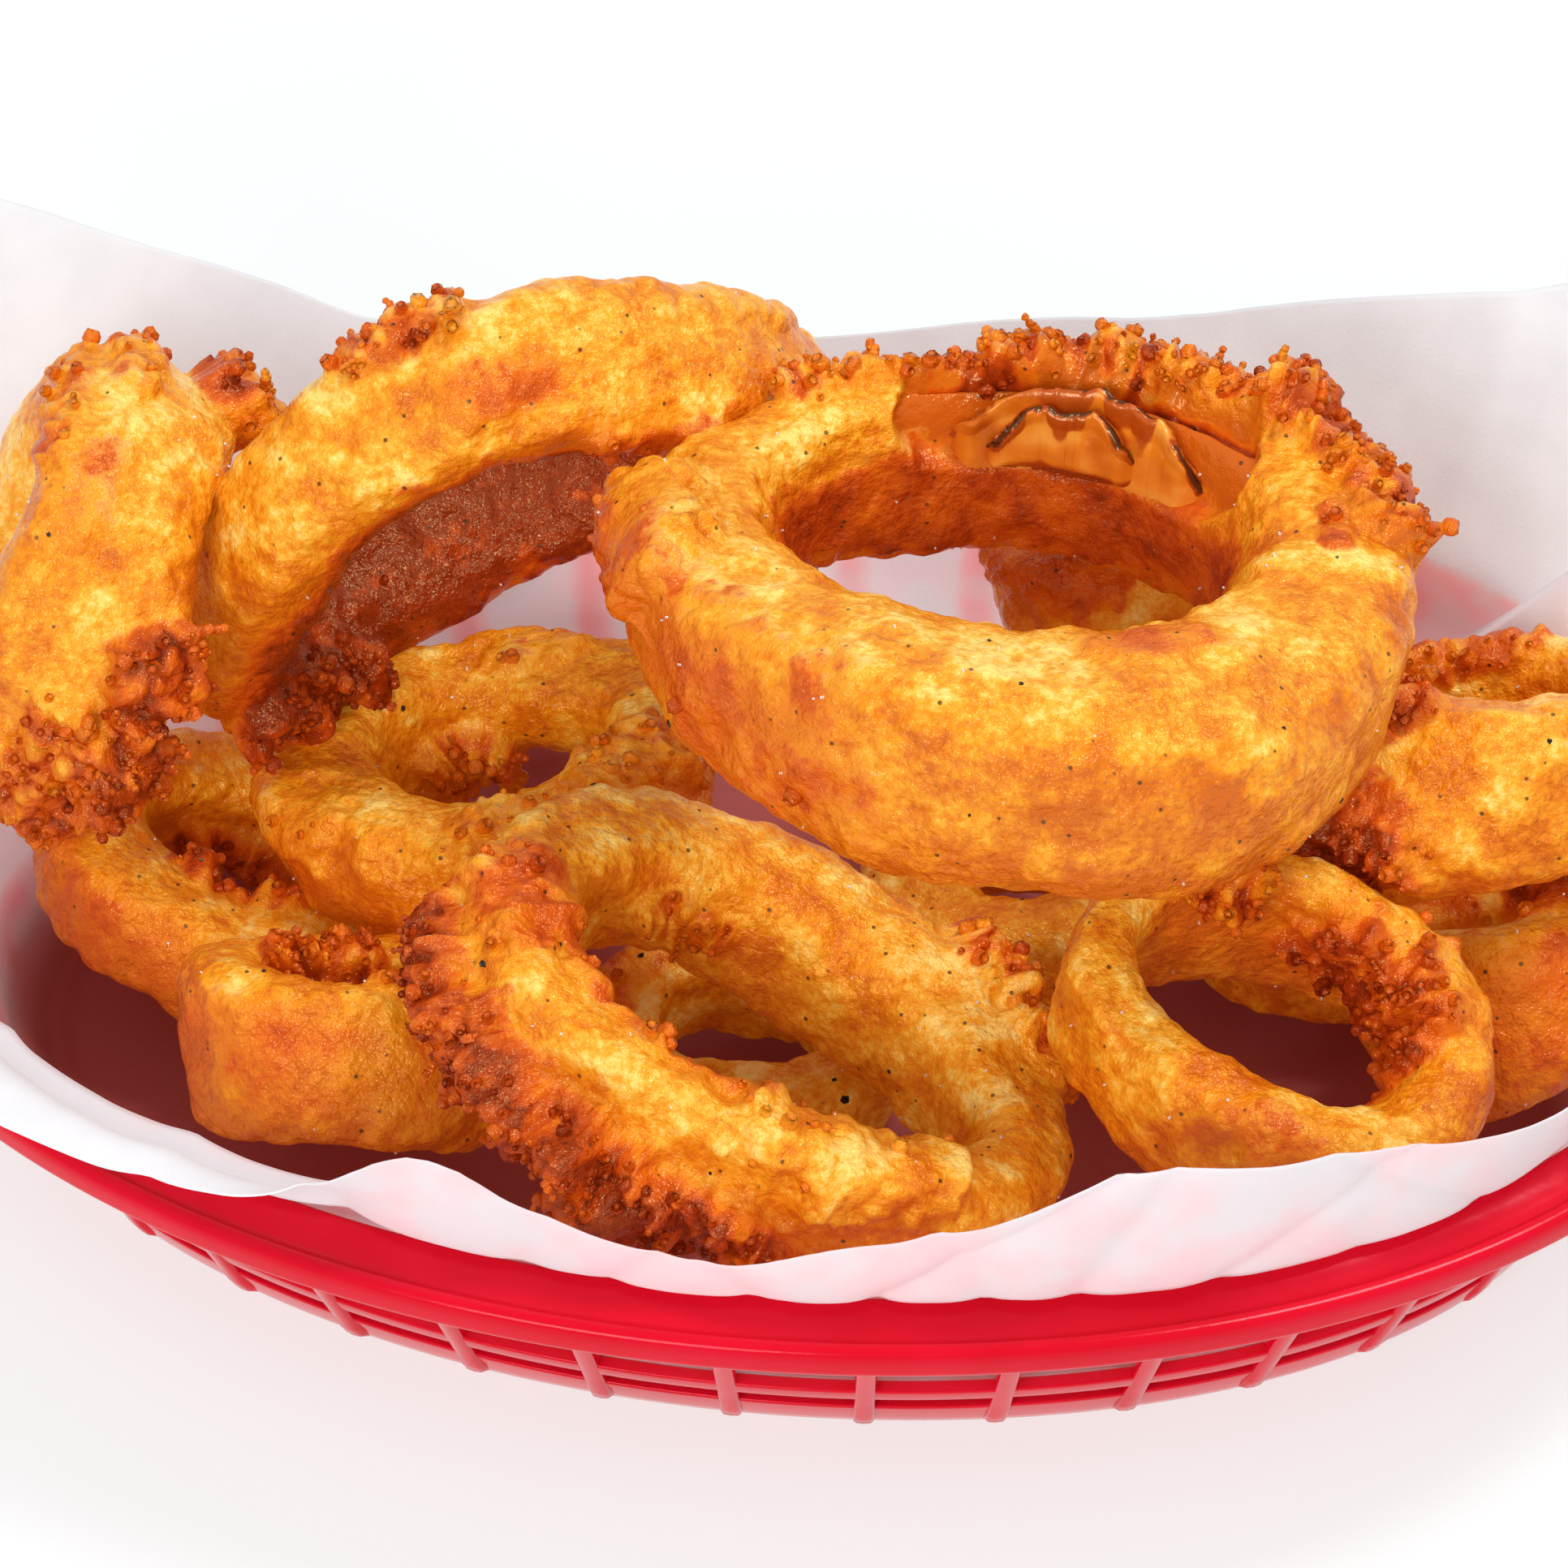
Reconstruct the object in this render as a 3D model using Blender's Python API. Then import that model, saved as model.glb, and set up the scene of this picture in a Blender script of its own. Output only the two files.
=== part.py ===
"""A side of onion rings in an oval red plastic basket with a paper liner.

The model stands on the XY plane. Its origin is the middle of the basket's flat underside,
+X runs along the basket's long axis to the right and +Y runs to the back.
Sizes below are in millimetres; MM turns them into metres.
"""
import math
from collections import namedtuple

import bmesh
import bpy
import numpy as np

MM = 0.001

# ---------------------------------------------------------------- driving dimensions

# Basket: half length and half width of each level, and its height above the table.
RIM_OUTER = (119.0, 79.0)
RIM_HEIGHT = 44.4
LIP_DROP = 3.6
LIP_THICKNESS = 1.5
FLANGE_WIDTH = 7.6
FLANGE_RISE = 1.0
FLANGE_THICKNESS = 1.8
NECK_HEIGHT = 42.2
FOOT = (97.0, 53.5)
FOOT_HEIGHT = 2.0
FOOT_ROUNDING = 2.0
BASE_BAND = (99.4, 56.8)
BASE_BAND_TOP = 8.0
BAR_LEVELS = (11.3, 14.5)
TOP_BAND_BOTTOM = 36.5
WALL = 1.8
FLOOR = 2.0
FLOOR_FILLET = 1.2
EDGE_FLAT = 0.8
EDGE_CHAMFER = 0.9
FLANGE_ROOT = 0.6
RIBS = 32
RIB_WIDTH = 2.6
# The floor's plate and ring, as shares of the foot; radial slots lie between them.
FLOOR_PLATE = 0.40
FLOOR_RING = 0.84
# Half length and half width halfway up the wall, where the ribs are spaced.
MID_WALL = (106.0, 64.0)
RED = (0.80, 0.005, 0.03)

# Paper liner: its thickness, its gap to the plastic, and how its edge stands above the rim.
PAPER = 0.8
PAPER_GAP = 0.6
PAPER_COLUMNS = 42
PAPER_MIDDLE = 40.0
PAPER_FLAT = 5.0
PAPER_CORNER = 0.6
PAPER_CORNER_RISE = 2.6
COLLAR_FOOT = 45.8
WHITE = (0.93, 0.90, 0.90)
# Direction in degrees from +X to the left, height along the paper, lean outwards in degrees.
COLLAR = ((0, 34, 32), (22, 66, 30), (34, 56, 30), (50, 38, 30), (70, 22, 30), (90, 14, 30),
          (108, 11, 30), (122, 18, 30), (138, 36, 30), (156, 62, 28), (168, 56, 28),
          (180, 36, 35), (200, 18, 50), (218, 14, 74), (236, 12, 72), (246, 13, 45),
          (253, 17, 16), (261, 9, 25), (271, 6, 30), (279, 11, 22), (288, 16, 16),
          (297, 20, 14), (308, 17, 15), (317, 14, 16), (328, 12, 18), (345, 23, 22))

# Onion rings. Each lies round its own middle, with its hole along the local Z axis.
Ring = namedtuple("Ring", "name centre heading lean turn length width height wall batch "
                          "saddle heavy tall")
RING_STEPS = 22
SECTION_STEPS = 8
SECTION_POWER = 2.5
BATTER = (0.83, 0.45, 0.12)

# A ring's middle and its turns: turned about its own hole, leant over, then turned to a heading.
# Its outer length and width, its height and its wall's thickness. The batch number sets its
# lumps, saddle bends it, heavy thickens its near side and tall raises its far side.
RINGS = (
    Ring("ring_left_leaning", (-86.5, 10, 65), -178, 66, -135, 58, 51, 24, 15, 1, 0, 0, 0),
    Ring("ring_back_arch", (-39.5, 32, 67), -58, 122, 106, 84, 72, 20, 12, 2, 4.5, 0, 0),
    Ring("ring_top", (26, 2, 84), 84, 9, -81, 87, 81, 25, 19, 3, 0, 0.38, 0.05),
    Ring("ring_front_leaning", (0, -32, 42.5), 23, 25, -36, 79, 59, 17, 13.5, 4, 0, -0.2, 0),
    Ring("ring_front_right", (59, -27, 47), -39, 16, 21, 51, 41, 19, 9, 5, 0, 0, 0),
    Ring("ring_middle_left", (-38, 16, 32.5), 152, 9, -135, 54, 50, 16, 15, 6, 0, 0.2, 0),
    Ring("ring_left_low", (-70, 8, 19), 21, 19, -24, 50, 44, 15, 13, 7, 0, 0, 0),
    Ring("ring_front_left", (-49, -25, 28), 90, 33, -81, 42, 30, 22, 12, 8, 0, 0, 0),
    Ring("ring_right_high", (78.5, 13.5, 51), 102, 36, -100, 53, 46, 26, 14, 9, 0, 0, 0),
    Ring("ring_right_low", (85, 1, 28), 136, 35, -123, 34, 32, 21, 12, 10, 0, 0, 0),
    Ring("ring_back_right", (42.5, 43.5, 53.5), 139, 4, -135, 48, 38, 19, 12, 11, 0, 0, 0),
    Ring("ring_under_front", (-4, -7, 14), 5, 3, -1, 40, 36, 14, 11, 12, 0, 0, 0),
    Ring("ring_centre_low", (26.5, 18, 19), 115, 5, -109, 38, 36, 16, 11, 13, 0, 0, 0),
    Ring("ring_right_back_low", (63, 23, 16), 30, 4, -34, 34, 32, 15, 11, 15, 0, 0, 0),
)


# ---------------------------------------------------------------- shared helpers

def clear_scene():
    """Remove whatever the scene holds."""
    for item in list(bpy.data.objects):
        bpy.data.objects.remove(item, do_unlink=True)


def principled(name, colour, roughness, metallic=0.0):
    """A plain Principled material."""
    material = bpy.data.materials.new(name)
    material.use_nodes = True
    shader = material.node_tree.nodes["Principled BSDF"]
    shader.inputs["Base Color"].default_value = (*colour, 1.0)
    shader.inputs["Roughness"].default_value = roughness
    shader.inputs["Metallic"].default_value = metallic
    return material


def add_object(name, points, faces, material, sharp_degrees):
    """A closed mesh object from points in millimetres, its faces turned outwards."""
    mesh = bpy.data.meshes.new(name)
    mesh.from_pydata([tuple(p) for p in np.asarray(points) * MM], [], faces)
    build = bmesh.new()
    build.from_mesh(mesh)
    bmesh.ops.recalc_face_normals(build, faces=build.faces)
    build.to_mesh(mesh)
    build.free()
    mesh.shade_smooth()
    mesh.set_sharp_from_angle(angle=math.radians(sharp_degrees))
    mesh.materials.append(material)
    item = bpy.data.objects.new(name, mesh)
    bpy.context.scene.collection.objects.link(item)
    return item


def oval(size, angles, height):
    """Points of a level oval, one for each angle."""
    return np.stack([size[0] * np.cos(angles), size[1] * np.sin(angles),
                     np.full_like(angles, height)], axis=-1)


def shrink(size, amount):
    """Half length and half width, both smaller by one amount."""
    return (size[0] - amount, size[1] - amount)


def outline():
    """Angles round the mid-wall oval and how far along its outline each one lies."""
    fine = np.linspace(0.0, 2.0 * math.pi, 4001)
    ring = oval(MID_WALL, fine, 0.0)
    run = np.concatenate([[0.0], np.cumsum(np.linalg.norm(np.diff(ring, axis=0), axis=1))])
    return fine, run


def even_angles(shares):
    """The angles at which these shares of the mid-wall outline have been run."""
    fine, run = outline()
    return np.interp(np.asarray(shares) * run[-1], run, fine)


# ---------------------------------------------------------------- basket

def wall_size(height):
    """Half length and half width of the wall's outside at one height."""
    share = (height - BASE_BAND_TOP) / (NECK_HEIGHT - BASE_BAND_TOP)
    neck = shrink(RIM_OUTER, FLANGE_WIDTH)
    return tuple(low + (high - low) * share for low, high in zip(BASE_BAND, neck))


def basket():
    """The openwork basket: slotted floor, ribs, one bar, top band and a turned-down rim.

    The shell is a grid of cells, columns round the oval and rows from the floor plate up to
    the neck. A slot is a cell left open, and its sides join the outside to the inside.
    """
    half_rib = 0.5 * RIB_WIDTH / outline()[1][-1]
    marks = [k / RIBS + side * half_rib for k in range(RIBS) for side in (-1, 1)]
    angles = even_angles(np.mod(marks, 1.0))
    columns = len(marks)
    corner = shrink(FOOT, FOOT_ROUNDING)
    plate = tuple(FLOOR_PLATE * side for side in FOOT)
    ring = tuple(FLOOR_RING * side for side in FOOT)
    # Each row: outside size and height, inside size and height, and whether slots open above it.
    rows = [(plate, 0.0, plate, FLOOR, True), (ring, 0.0, ring, FLOOR, False)]
    rows.append((corner, 0.0, shrink(FOOT, WALL + FOOT_ROUNDING), FLOOR, False))
    rows.append((FOOT, FOOT_HEIGHT, shrink(FOOT, WALL), FLOOR + FLOOR_FILLET, False))
    for height, opens in ((BASE_BAND_TOP, True), (BAR_LEVELS[0], False), (BAR_LEVELS[1], True),
                          (TOP_BAND_BOTTOM, False), (NECK_HEIGHT, False)):
        size = wall_size(height)
        rows.append((size, height, shrink(size, WALL), height, opens))
    neck = shrink(RIM_OUTER, FLANGE_WIDTH)
    lip_inner = shrink(RIM_OUTER, LIP_THICKNESS)
    lip_low = RIM_HEIGHT - LIP_DROP
    rim = [(lip_inner, RIM_HEIGHT - FLANGE_THICKNESS), (lip_inner, lip_low), (RIM_OUTER, lip_low),
           (RIM_OUTER, RIM_HEIGHT - EDGE_FLAT), (shrink(RIM_OUTER, EDGE_CHAMFER), RIM_HEIGHT),
           (shrink(neck, FLANGE_ROOT), RIM_HEIGHT + FLANGE_RISE)]

    outside = [oval(row[0], angles, row[1]) for row in rows]
    inside = [oval(row[2], angles, row[3]) for row in rows]
    edge = [oval(size, angles, height) for size, height in rim]
    points = np.concatenate(outside + inside + edge + [[[0, 0, 0], [0, 0, FLOOR]]])
    levels = len(rows)

    def vertex(layer, level, column):
        return (layer * levels + level) * columns + column % columns

    def is_open(level, column):
        return 0 <= level < levels and rows[level][4] and column % 2 == 1

    faces = []
    for column in range(columns):
        after = column + 1
        for level in range(levels - 1):
            up = level + 1
            if not is_open(level, column):
                for layer in (0, 1):
                    faces.append([vertex(layer, level, column), vertex(layer, level, after),
                                  vertex(layer, up, after), vertex(layer, up, column)])
                continue
            corners = [(level, column), (level, after), (up, after), (up, column)]
            for start, end in zip(corners, corners[1:] + corners[:1]):
                faces.append([vertex(0, *start), vertex(0, *end), vertex(1, *end), vertex(1, *start)])
        # Rim: from the neck's outside round the lip and the flange to the neck's inside.
        path = [vertex(0, levels - 1, 0)]
        path += [2 * levels * columns + k * columns for k in range(len(rim))]
        path.append(vertex(1, levels - 1, 0))
        for low, high in zip(path[:-1], path[1:]):
            faces.append([low + column, low + after % columns, high + after % columns, high + column])
        for layer in (0, 1):
            faces.append([vertex(layer, 0, column), vertex(layer, 0, after), len(points) - 2 + layer])
    red = principled("red plastic", RED, 0.25)
    add_object("basket", points, faces, red, 40.0)


# ---------------------------------------------------------------- paper liner

def collar(angles):
    """Height and lean (radians) of the paper above the rim, smoothed between its directions."""
    turn = 2.0 * math.pi
    table = np.array(COLLAR, float)
    keys = np.radians(table[:, 0])
    spread = np.radians((-6.0, -3.0, 0.0, 3.0, 6.0))
    around = np.mod(angles[:, None] + spread, turn)
    height = np.interp(around, keys, table[:, 1], period=turn).mean(axis=1)
    lean = np.radians(np.interp(around, keys, table[:, 2], period=turn).mean(axis=1))
    return height, lean


def paper_liner():
    """The liner as one thin closed solid: floor, wall, then a collar that leans outwards."""
    angles = even_angles(np.arange(PAPER_COLUMNS) / PAPER_COLUMNS)
    height, lean = collar(angles)
    floor = FLOOR + PAPER_GAP
    inside_foot = shrink(FOOT, WALL + PAPER_GAP)
    neck = shrink(RIM_OUTER, FLANGE_WIDTH + WALL + PAPER_GAP)
    # Each level: the underside's size and height, then how far in and up the top side lies.
    levels = [(shrink(FOOT, PAPER_MIDDLE), floor, 0.0, PAPER),
              (shrink(inside_foot, PAPER_FLAT), floor, 0.5 * PAPER, PAPER),
              (shrink(inside_foot, PAPER_CORNER), floor + PAPER_CORNER_RISE, PAPER, 0.4 * PAPER),
              (shrink(BASE_BAND, WALL + PAPER_GAP), BASE_BAND_TOP + PAPER_CORNER, PAPER, 0.0),
              (neck, NECK_HEIGHT, PAPER, 0.0), (neck, COLLAR_FOOT, PAPER, 0.0)]
    under = [oval(size, angles, z) for size, z, _, _ in levels]
    over = [oval(shrink(size, inward), angles, z + up) for size, z, inward, up in levels]
    collar_foot = under[-1]
    outward = np.stack([neck[1] * np.cos(angles), neck[0] * np.sin(angles)], axis=-1)
    outward /= np.linalg.norm(outward, axis=1, keepdims=True)
    for share in (0.5, 1.0):
        reach = share * height
        climb = np.concatenate([outward * (reach * np.sin(lean))[:, None],
                                (reach * np.cos(lean))[:, None]], axis=1)
        inward = np.concatenate([-outward * (PAPER * np.cos(lean))[:, None],
                                 (PAPER * np.sin(lean))[:, None]], axis=1)
        under.append(collar_foot + climb)
        over.append(collar_foot + climb + inward)
    points = np.concatenate(under + over + [[[0, 0, floor], [0, 0, floor + PAPER]]])
    columns = PAPER_COLUMNS
    rows = len(under)
    faces = []
    for column in range(columns):
        after = (column + 1) % columns
        for base in (0, rows * columns):
            for row in range(rows - 1):
                low = base + row * columns
                high = low + columns
                faces.append([low + column, low + after, high + after, high + column])
        top = (rows - 1) * columns
        faces.append([top + column, top + after, top + after + rows * columns,
                      top + column + rows * columns])
        faces.append([column, after, len(points) - 2])
        faces.append([column + rows * columns, after + rows * columns, len(points) - 1])
    white = principled("greaseproof paper", WHITE, 0.55)
    add_object("paper_liner", points, faces, white, 60.0)


# ---------------------------------------------------------------- onion rings

def ring_surface(ring, around, section):
    """Points of a battered ring, from its angle round the hole and its angle round the wall.

    The middle line is an oval with a slow two- and three-lobed wander, and the wall's section is
    a rounded rectangle whose thickness, height and slant drift as it goes round. The batch
    number sets where each drift begins, so that no two rings are alike.
    """
    def drift(order, term):
        return np.cos(order * around + ring.batch * (1.3 + 0.7 * term) + term)

    half_length = 0.5 * (ring.length - ring.wall)
    half_width = 0.5 * (ring.width - ring.wall)
    swell = 1.0 + 0.035 * drift(2, 1) + 0.03 * drift(3, 2)
    thick = 0.5 * ring.wall * (1.0 - ring.heavy * np.sin(around) + 0.10 * drift(1, 3)
                               + 0.07 * drift(3, 4))
    tall = 0.5 * ring.height * (1.0 + ring.tall * np.sin(around) + 0.09 * drift(1, 5)
                                + 0.07 * drift(2, 6))
    slant = 0.14 * drift(2, 7)
    out = np.stack([half_width * np.cos(around), half_length * np.sin(around)], axis=-1)
    out /= np.linalg.norm(out, axis=-1, keepdims=True)
    power = 2.0 / SECTION_POWER
    across = thick * np.sign(np.cos(section)) * np.abs(np.cos(section)) ** power
    up = tall * np.sign(np.sin(section)) * np.abs(np.sin(section)) ** power
    away = across * np.cos(slant) + up * np.sin(slant)
    rise = up * np.cos(slant) - across * np.sin(slant) + ring.saddle * np.cos(2.0 * around)
    return np.stack([half_length * np.cos(around) * swell + out[..., 0] * away,
                     half_width * np.sin(around) * swell + out[..., 1] * away, rise], axis=-1)


def onion_ring(ring, material):
    """One battered ring, turned about its hole, leant over and set in the pile."""
    around, section = np.meshgrid(np.arange(RING_STEPS) * 2.0 * math.pi / RING_STEPS,
                                  np.arange(SECTION_STEPS) * 2.0 * math.pi / SECTION_STEPS,
                                  indexing="ij")
    points = ring_surface(ring, around, section).reshape(-1, 3)
    turn = math.radians(ring.turn)
    spin = np.array([[math.cos(turn), math.sin(turn), 0.0],
                     [-math.sin(turn), math.cos(turn), 0.0], [0.0, 0.0, 1.0]])
    faces = []
    for step in range(RING_STEPS):
        for side in range(SECTION_STEPS):
            here = step * SECTION_STEPS
            there = (step + 1) % RING_STEPS * SECTION_STEPS
            beside = (side + 1) % SECTION_STEPS
            faces.append([here + side, there + side, there + beside, here + beside])
    item = add_object(ring.name, points @ spin, faces, material, 70.0)
    item.location = [value * MM for value in ring.centre]
    item.rotation_euler = (0.0, math.radians(ring.lean), math.radians(ring.heading))


clear_scene()
basket()
paper_liner()
for one_ring in RINGS:
    onion_ring(one_ring, principled("fried batter " + one_ring.name, BATTER, 0.45))
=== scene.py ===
import math
from collections import namedtuple

import bpy
import numpy as np
from mathutils import Euler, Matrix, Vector


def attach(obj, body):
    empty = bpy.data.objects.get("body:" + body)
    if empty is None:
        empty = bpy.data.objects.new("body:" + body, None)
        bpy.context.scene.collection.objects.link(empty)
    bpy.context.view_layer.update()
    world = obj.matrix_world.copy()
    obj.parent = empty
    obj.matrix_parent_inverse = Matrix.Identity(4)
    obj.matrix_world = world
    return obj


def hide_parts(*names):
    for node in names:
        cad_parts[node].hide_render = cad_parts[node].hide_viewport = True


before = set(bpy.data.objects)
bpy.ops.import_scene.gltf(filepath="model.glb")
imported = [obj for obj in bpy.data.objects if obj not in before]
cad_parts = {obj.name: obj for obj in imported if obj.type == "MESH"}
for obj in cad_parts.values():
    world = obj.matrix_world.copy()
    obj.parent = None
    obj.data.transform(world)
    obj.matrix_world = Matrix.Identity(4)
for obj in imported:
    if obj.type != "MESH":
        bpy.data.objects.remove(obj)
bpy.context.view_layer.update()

# ------------------------ red basket
# An oval openwork food basket, moulded in one shot from glossy red polypropylene. Its rim is a
# broad hollow flange with a bead at the edge and a turned-down lip. Below it, proud ribs cross
# one bar and curl under the foot ring, and thin spokes join the foot to the floor plate.

# Sizes are in millimetres. A pair is an oval's half length and half width.
MM = 0.001
RIM_OUTER = (119.0, 79.0)
RIM_HEIGHT = 44.4
FLANGE_WIDTH = 7.6
NECK_HEIGHT = 42.2
FOOT = (97.0, 53.5)
BASE_BAND = (99.4, 56.8)
BASE_BAND_TOP = 8.0
BAR_LEVELS = (11.3, 14.5)
BAR_STAND = 0.2
TOP_BAND_BOTTOM = 36.5
WALL = 1.8
FLOOR = 2.0
MID_WALL = (106.0, 64.0)
RIBS = 32
RIB_WIDTH = 2.6
RIB_DEPTH = 2.2
RIB_STAND = 0.45
# Under the base band a rib curls inwards: its height, and how far it has come in.
RIB_CURL = ((5.5, 0.9), (3.6, 1.8), (2.3, 3.2), (1.5, 5.0), (1.2, 7.0))
# The floor plate's size and the spokes' two ends, as shares of the foot's oval.
PLATE_SHARE = 0.42
PLATE_BOTTOM = 0.05
SPOKE_SHARES = (0.36, 0.9)
BASKET_COLUMNS = 432


def even_angles(count):
    """Angles that space points evenly along the mid-wall oval: the angle as a function of the
    length run along (a cos t, b sin t), read back at equal lengths."""
    fine = np.linspace(0.0, 2.0 * math.pi, 4001)
    steps = np.hypot(MID_WALL[0] * np.diff(np.cos(fine)), MID_WALL[1] * np.diff(np.sin(fine)))
    run = np.concatenate([[0.0], np.cumsum(steps)])
    return np.interp(np.arange(count) / count * run[-1], run, fine)


def full_turn(count):
    """Angles spaced evenly once round."""
    return np.linspace(0.0, 2.0 * math.pi, count, endpoint=False)


def unit(vectors):
    """Vectors brought to length one."""
    return vectors / np.maximum(np.linalg.norm(vectors, axis=-1, keepdims=True), 1e-9)


def soft(value, power):
    """The value's size raised to a power, with its sign kept."""
    return np.sign(value) * np.abs(value) ** power


def sweep(profile, angles):
    """Profile rows (a, b, h) carried round the oval: at angle t the point is
    (a cos t, b sin t, h)."""
    profile = np.asarray(profile, float)
    turn = angles[:, None]
    height = np.broadcast_to(profile[:, 2], (len(angles), len(profile)))
    return np.stack([profile[:, 0] * np.cos(turn), profile[:, 1] * np.sin(turn), height], axis=-1)


def rounded(corners, radius, steps=4):
    """A closed outline with its corners rounded: each corner c becomes the curve
    (1-t)^2 p + 2t(1-t) c + t^2 q, where p and q lie one radius before and after it."""
    corners = np.asarray(corners, float)[:, None]
    along = np.linspace(0.0, 1.0, steps)[None, :, None]
    ends = []
    for shift in (1, -1):
        edge = np.roll(corners, shift, axis=0) - corners
        length = np.linalg.norm(edge, axis=2, keepdims=True)
        ends.append(corners + edge * np.minimum(0.45, radius / length))
    curve = (1 - along) ** 2 * ends[0] + 2 * along * (1 - along) * corners + along ** 2 * ends[1]
    return curve.reshape(-1, corners.shape[2])


def grid_faces(rows, columns, ring=True, tube=True):
    """Quads between neighbours on a grid of points. A ring joins the last row to the first,
    and a tube joins the last column to the first."""
    row = np.arange(rows if ring else rows - 1)[:, None]
    column = np.arange(columns if tube else columns - 1)[None, :]
    after = (row + 1) % rows
    beside = (column + 1) % columns
    return np.stack([row * columns + column, after * columns + column,
                     after * columns + beside, row * columns + beside], axis=-1).reshape(-1, 4)


def closed_tubes(rows):
    """Tubes from points (tube, step, side): quads along the walls, and a fan to the middle of
    each end. Gives the points and their faces."""
    count, steps, sides, _ = rows.shape
    points = np.concatenate([rows.reshape(count, -1, 3), rows[:, [0, -1]].mean(axis=2)], axis=1)
    edge = np.arange(sides)
    beside = np.roll(edge, -1)
    last = (steps - 1) * sides
    first_cap = np.stack([beside, edge, np.full(sides, steps * sides)], axis=1)
    last_cap = np.stack([last + edge, last + beside, np.full(sides, steps * sides + 1)], axis=1)
    offset = np.arange(count)[:, None, None] * points.shape[1]
    faces = [(part + offset).reshape(-1, part.shape[1])
             for part in (grid_faces(steps, sides, ring=False), first_cap, last_cap)]
    return points.reshape(-1, 3), faces


def new_object(name, data):
    """An object for a mesh, a light or the camera, linked into the scene."""
    made = bpy.data.objects.new(name, data)
    bpy.context.scene.collection.objects.link(made)
    return made


def add_piece(name, solids, material, layers=None):
    """A smooth mesh from closed solids, each its points and its lists of faces. A solid whose
    volume, the sum of a . (b x c) over its faces, is below nought is turned inside out. Layers
    are named numbers, one for each point."""
    points, loops, counts, start = [], [], [], 0
    for solid_points, face_lists in solids:
        volume = 0.0
        for faces in face_lists:
            for second in range(1, faces.shape[1] - 1):
                corners = [solid_points[faces[:, k]] for k in (0, second, second + 1)]
                volume += np.sum(corners[0] * np.cross(corners[1], corners[2]))
        for faces in face_lists:
            turned = faces if volume > 0.0 else faces[:, ::-1]
            loops.append((turned + start).ravel())
            counts.append(np.full(len(faces), faces.shape[1]))
        points.append(solid_points)
        start += len(solid_points)
    points = np.concatenate(points) * MM
    loops = np.concatenate(loops)
    counts = np.concatenate(counts)
    mesh = bpy.data.meshes.new(name)
    mesh.vertices.add(len(points))
    mesh.vertices.foreach_set("co", points.ravel())
    mesh.loops.add(len(loops))
    mesh.loops.foreach_set("vertex_index", loops.astype(np.int32))
    mesh.polygons.add(len(counts))
    mesh.polygons.foreach_set("loop_start", (np.cumsum(counts) - counts).astype(np.int32))
    mesh.update(calc_edges=True)
    mesh.validate()
    mesh.shade_smooth()
    for layer, values in (layers or {}).items():
        mesh.attributes.new(layer, "FLOAT", "POINT").data.foreach_set(
            "value", values.ravel().astype(np.float32))
    mesh.materials.append(material)
    piece = new_object(name, mesh)
    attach(piece, "root")
    return piece


class Wire:
    """A number, colour or vector inside a material. Sums on it add Math nodes."""

    def __init__(self, finish, socket):
        self.finish = finish
        self.socket = socket

    def maths(self, operation, *values):
        sockets = dict(enumerate(values))
        return self.finish.add("ShaderNodeMath", {"operation": operation}, sockets)

    def __add__(self, other):
        return self.maths("ADD", self, other)

    def __sub__(self, other):
        return self.maths("SUBTRACT", self, other)

    def __rsub__(self, other):
        return self.maths("SUBTRACT", other, self)

    def __mul__(self, other):
        return self.maths("MULTIPLY", self, other)

    __radd__ = __add__
    __rmul__ = __mul__

    def between(self, low, high):
        """Nought up to low, one from high, and a smooth step between them."""
        return self.finish.add("ShaderNodeMapRange", {"interpolation_type": "SMOOTHSTEP"},
                               {"Value": self, "From Min": low, "From Max": high})

    def colours(self, *stops):
        """A colour read from stops, each a number and a colour."""
        return self.finish.add("ShaderNodeValToRGB", {"stops": stops}, {"Fac": self})


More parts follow.
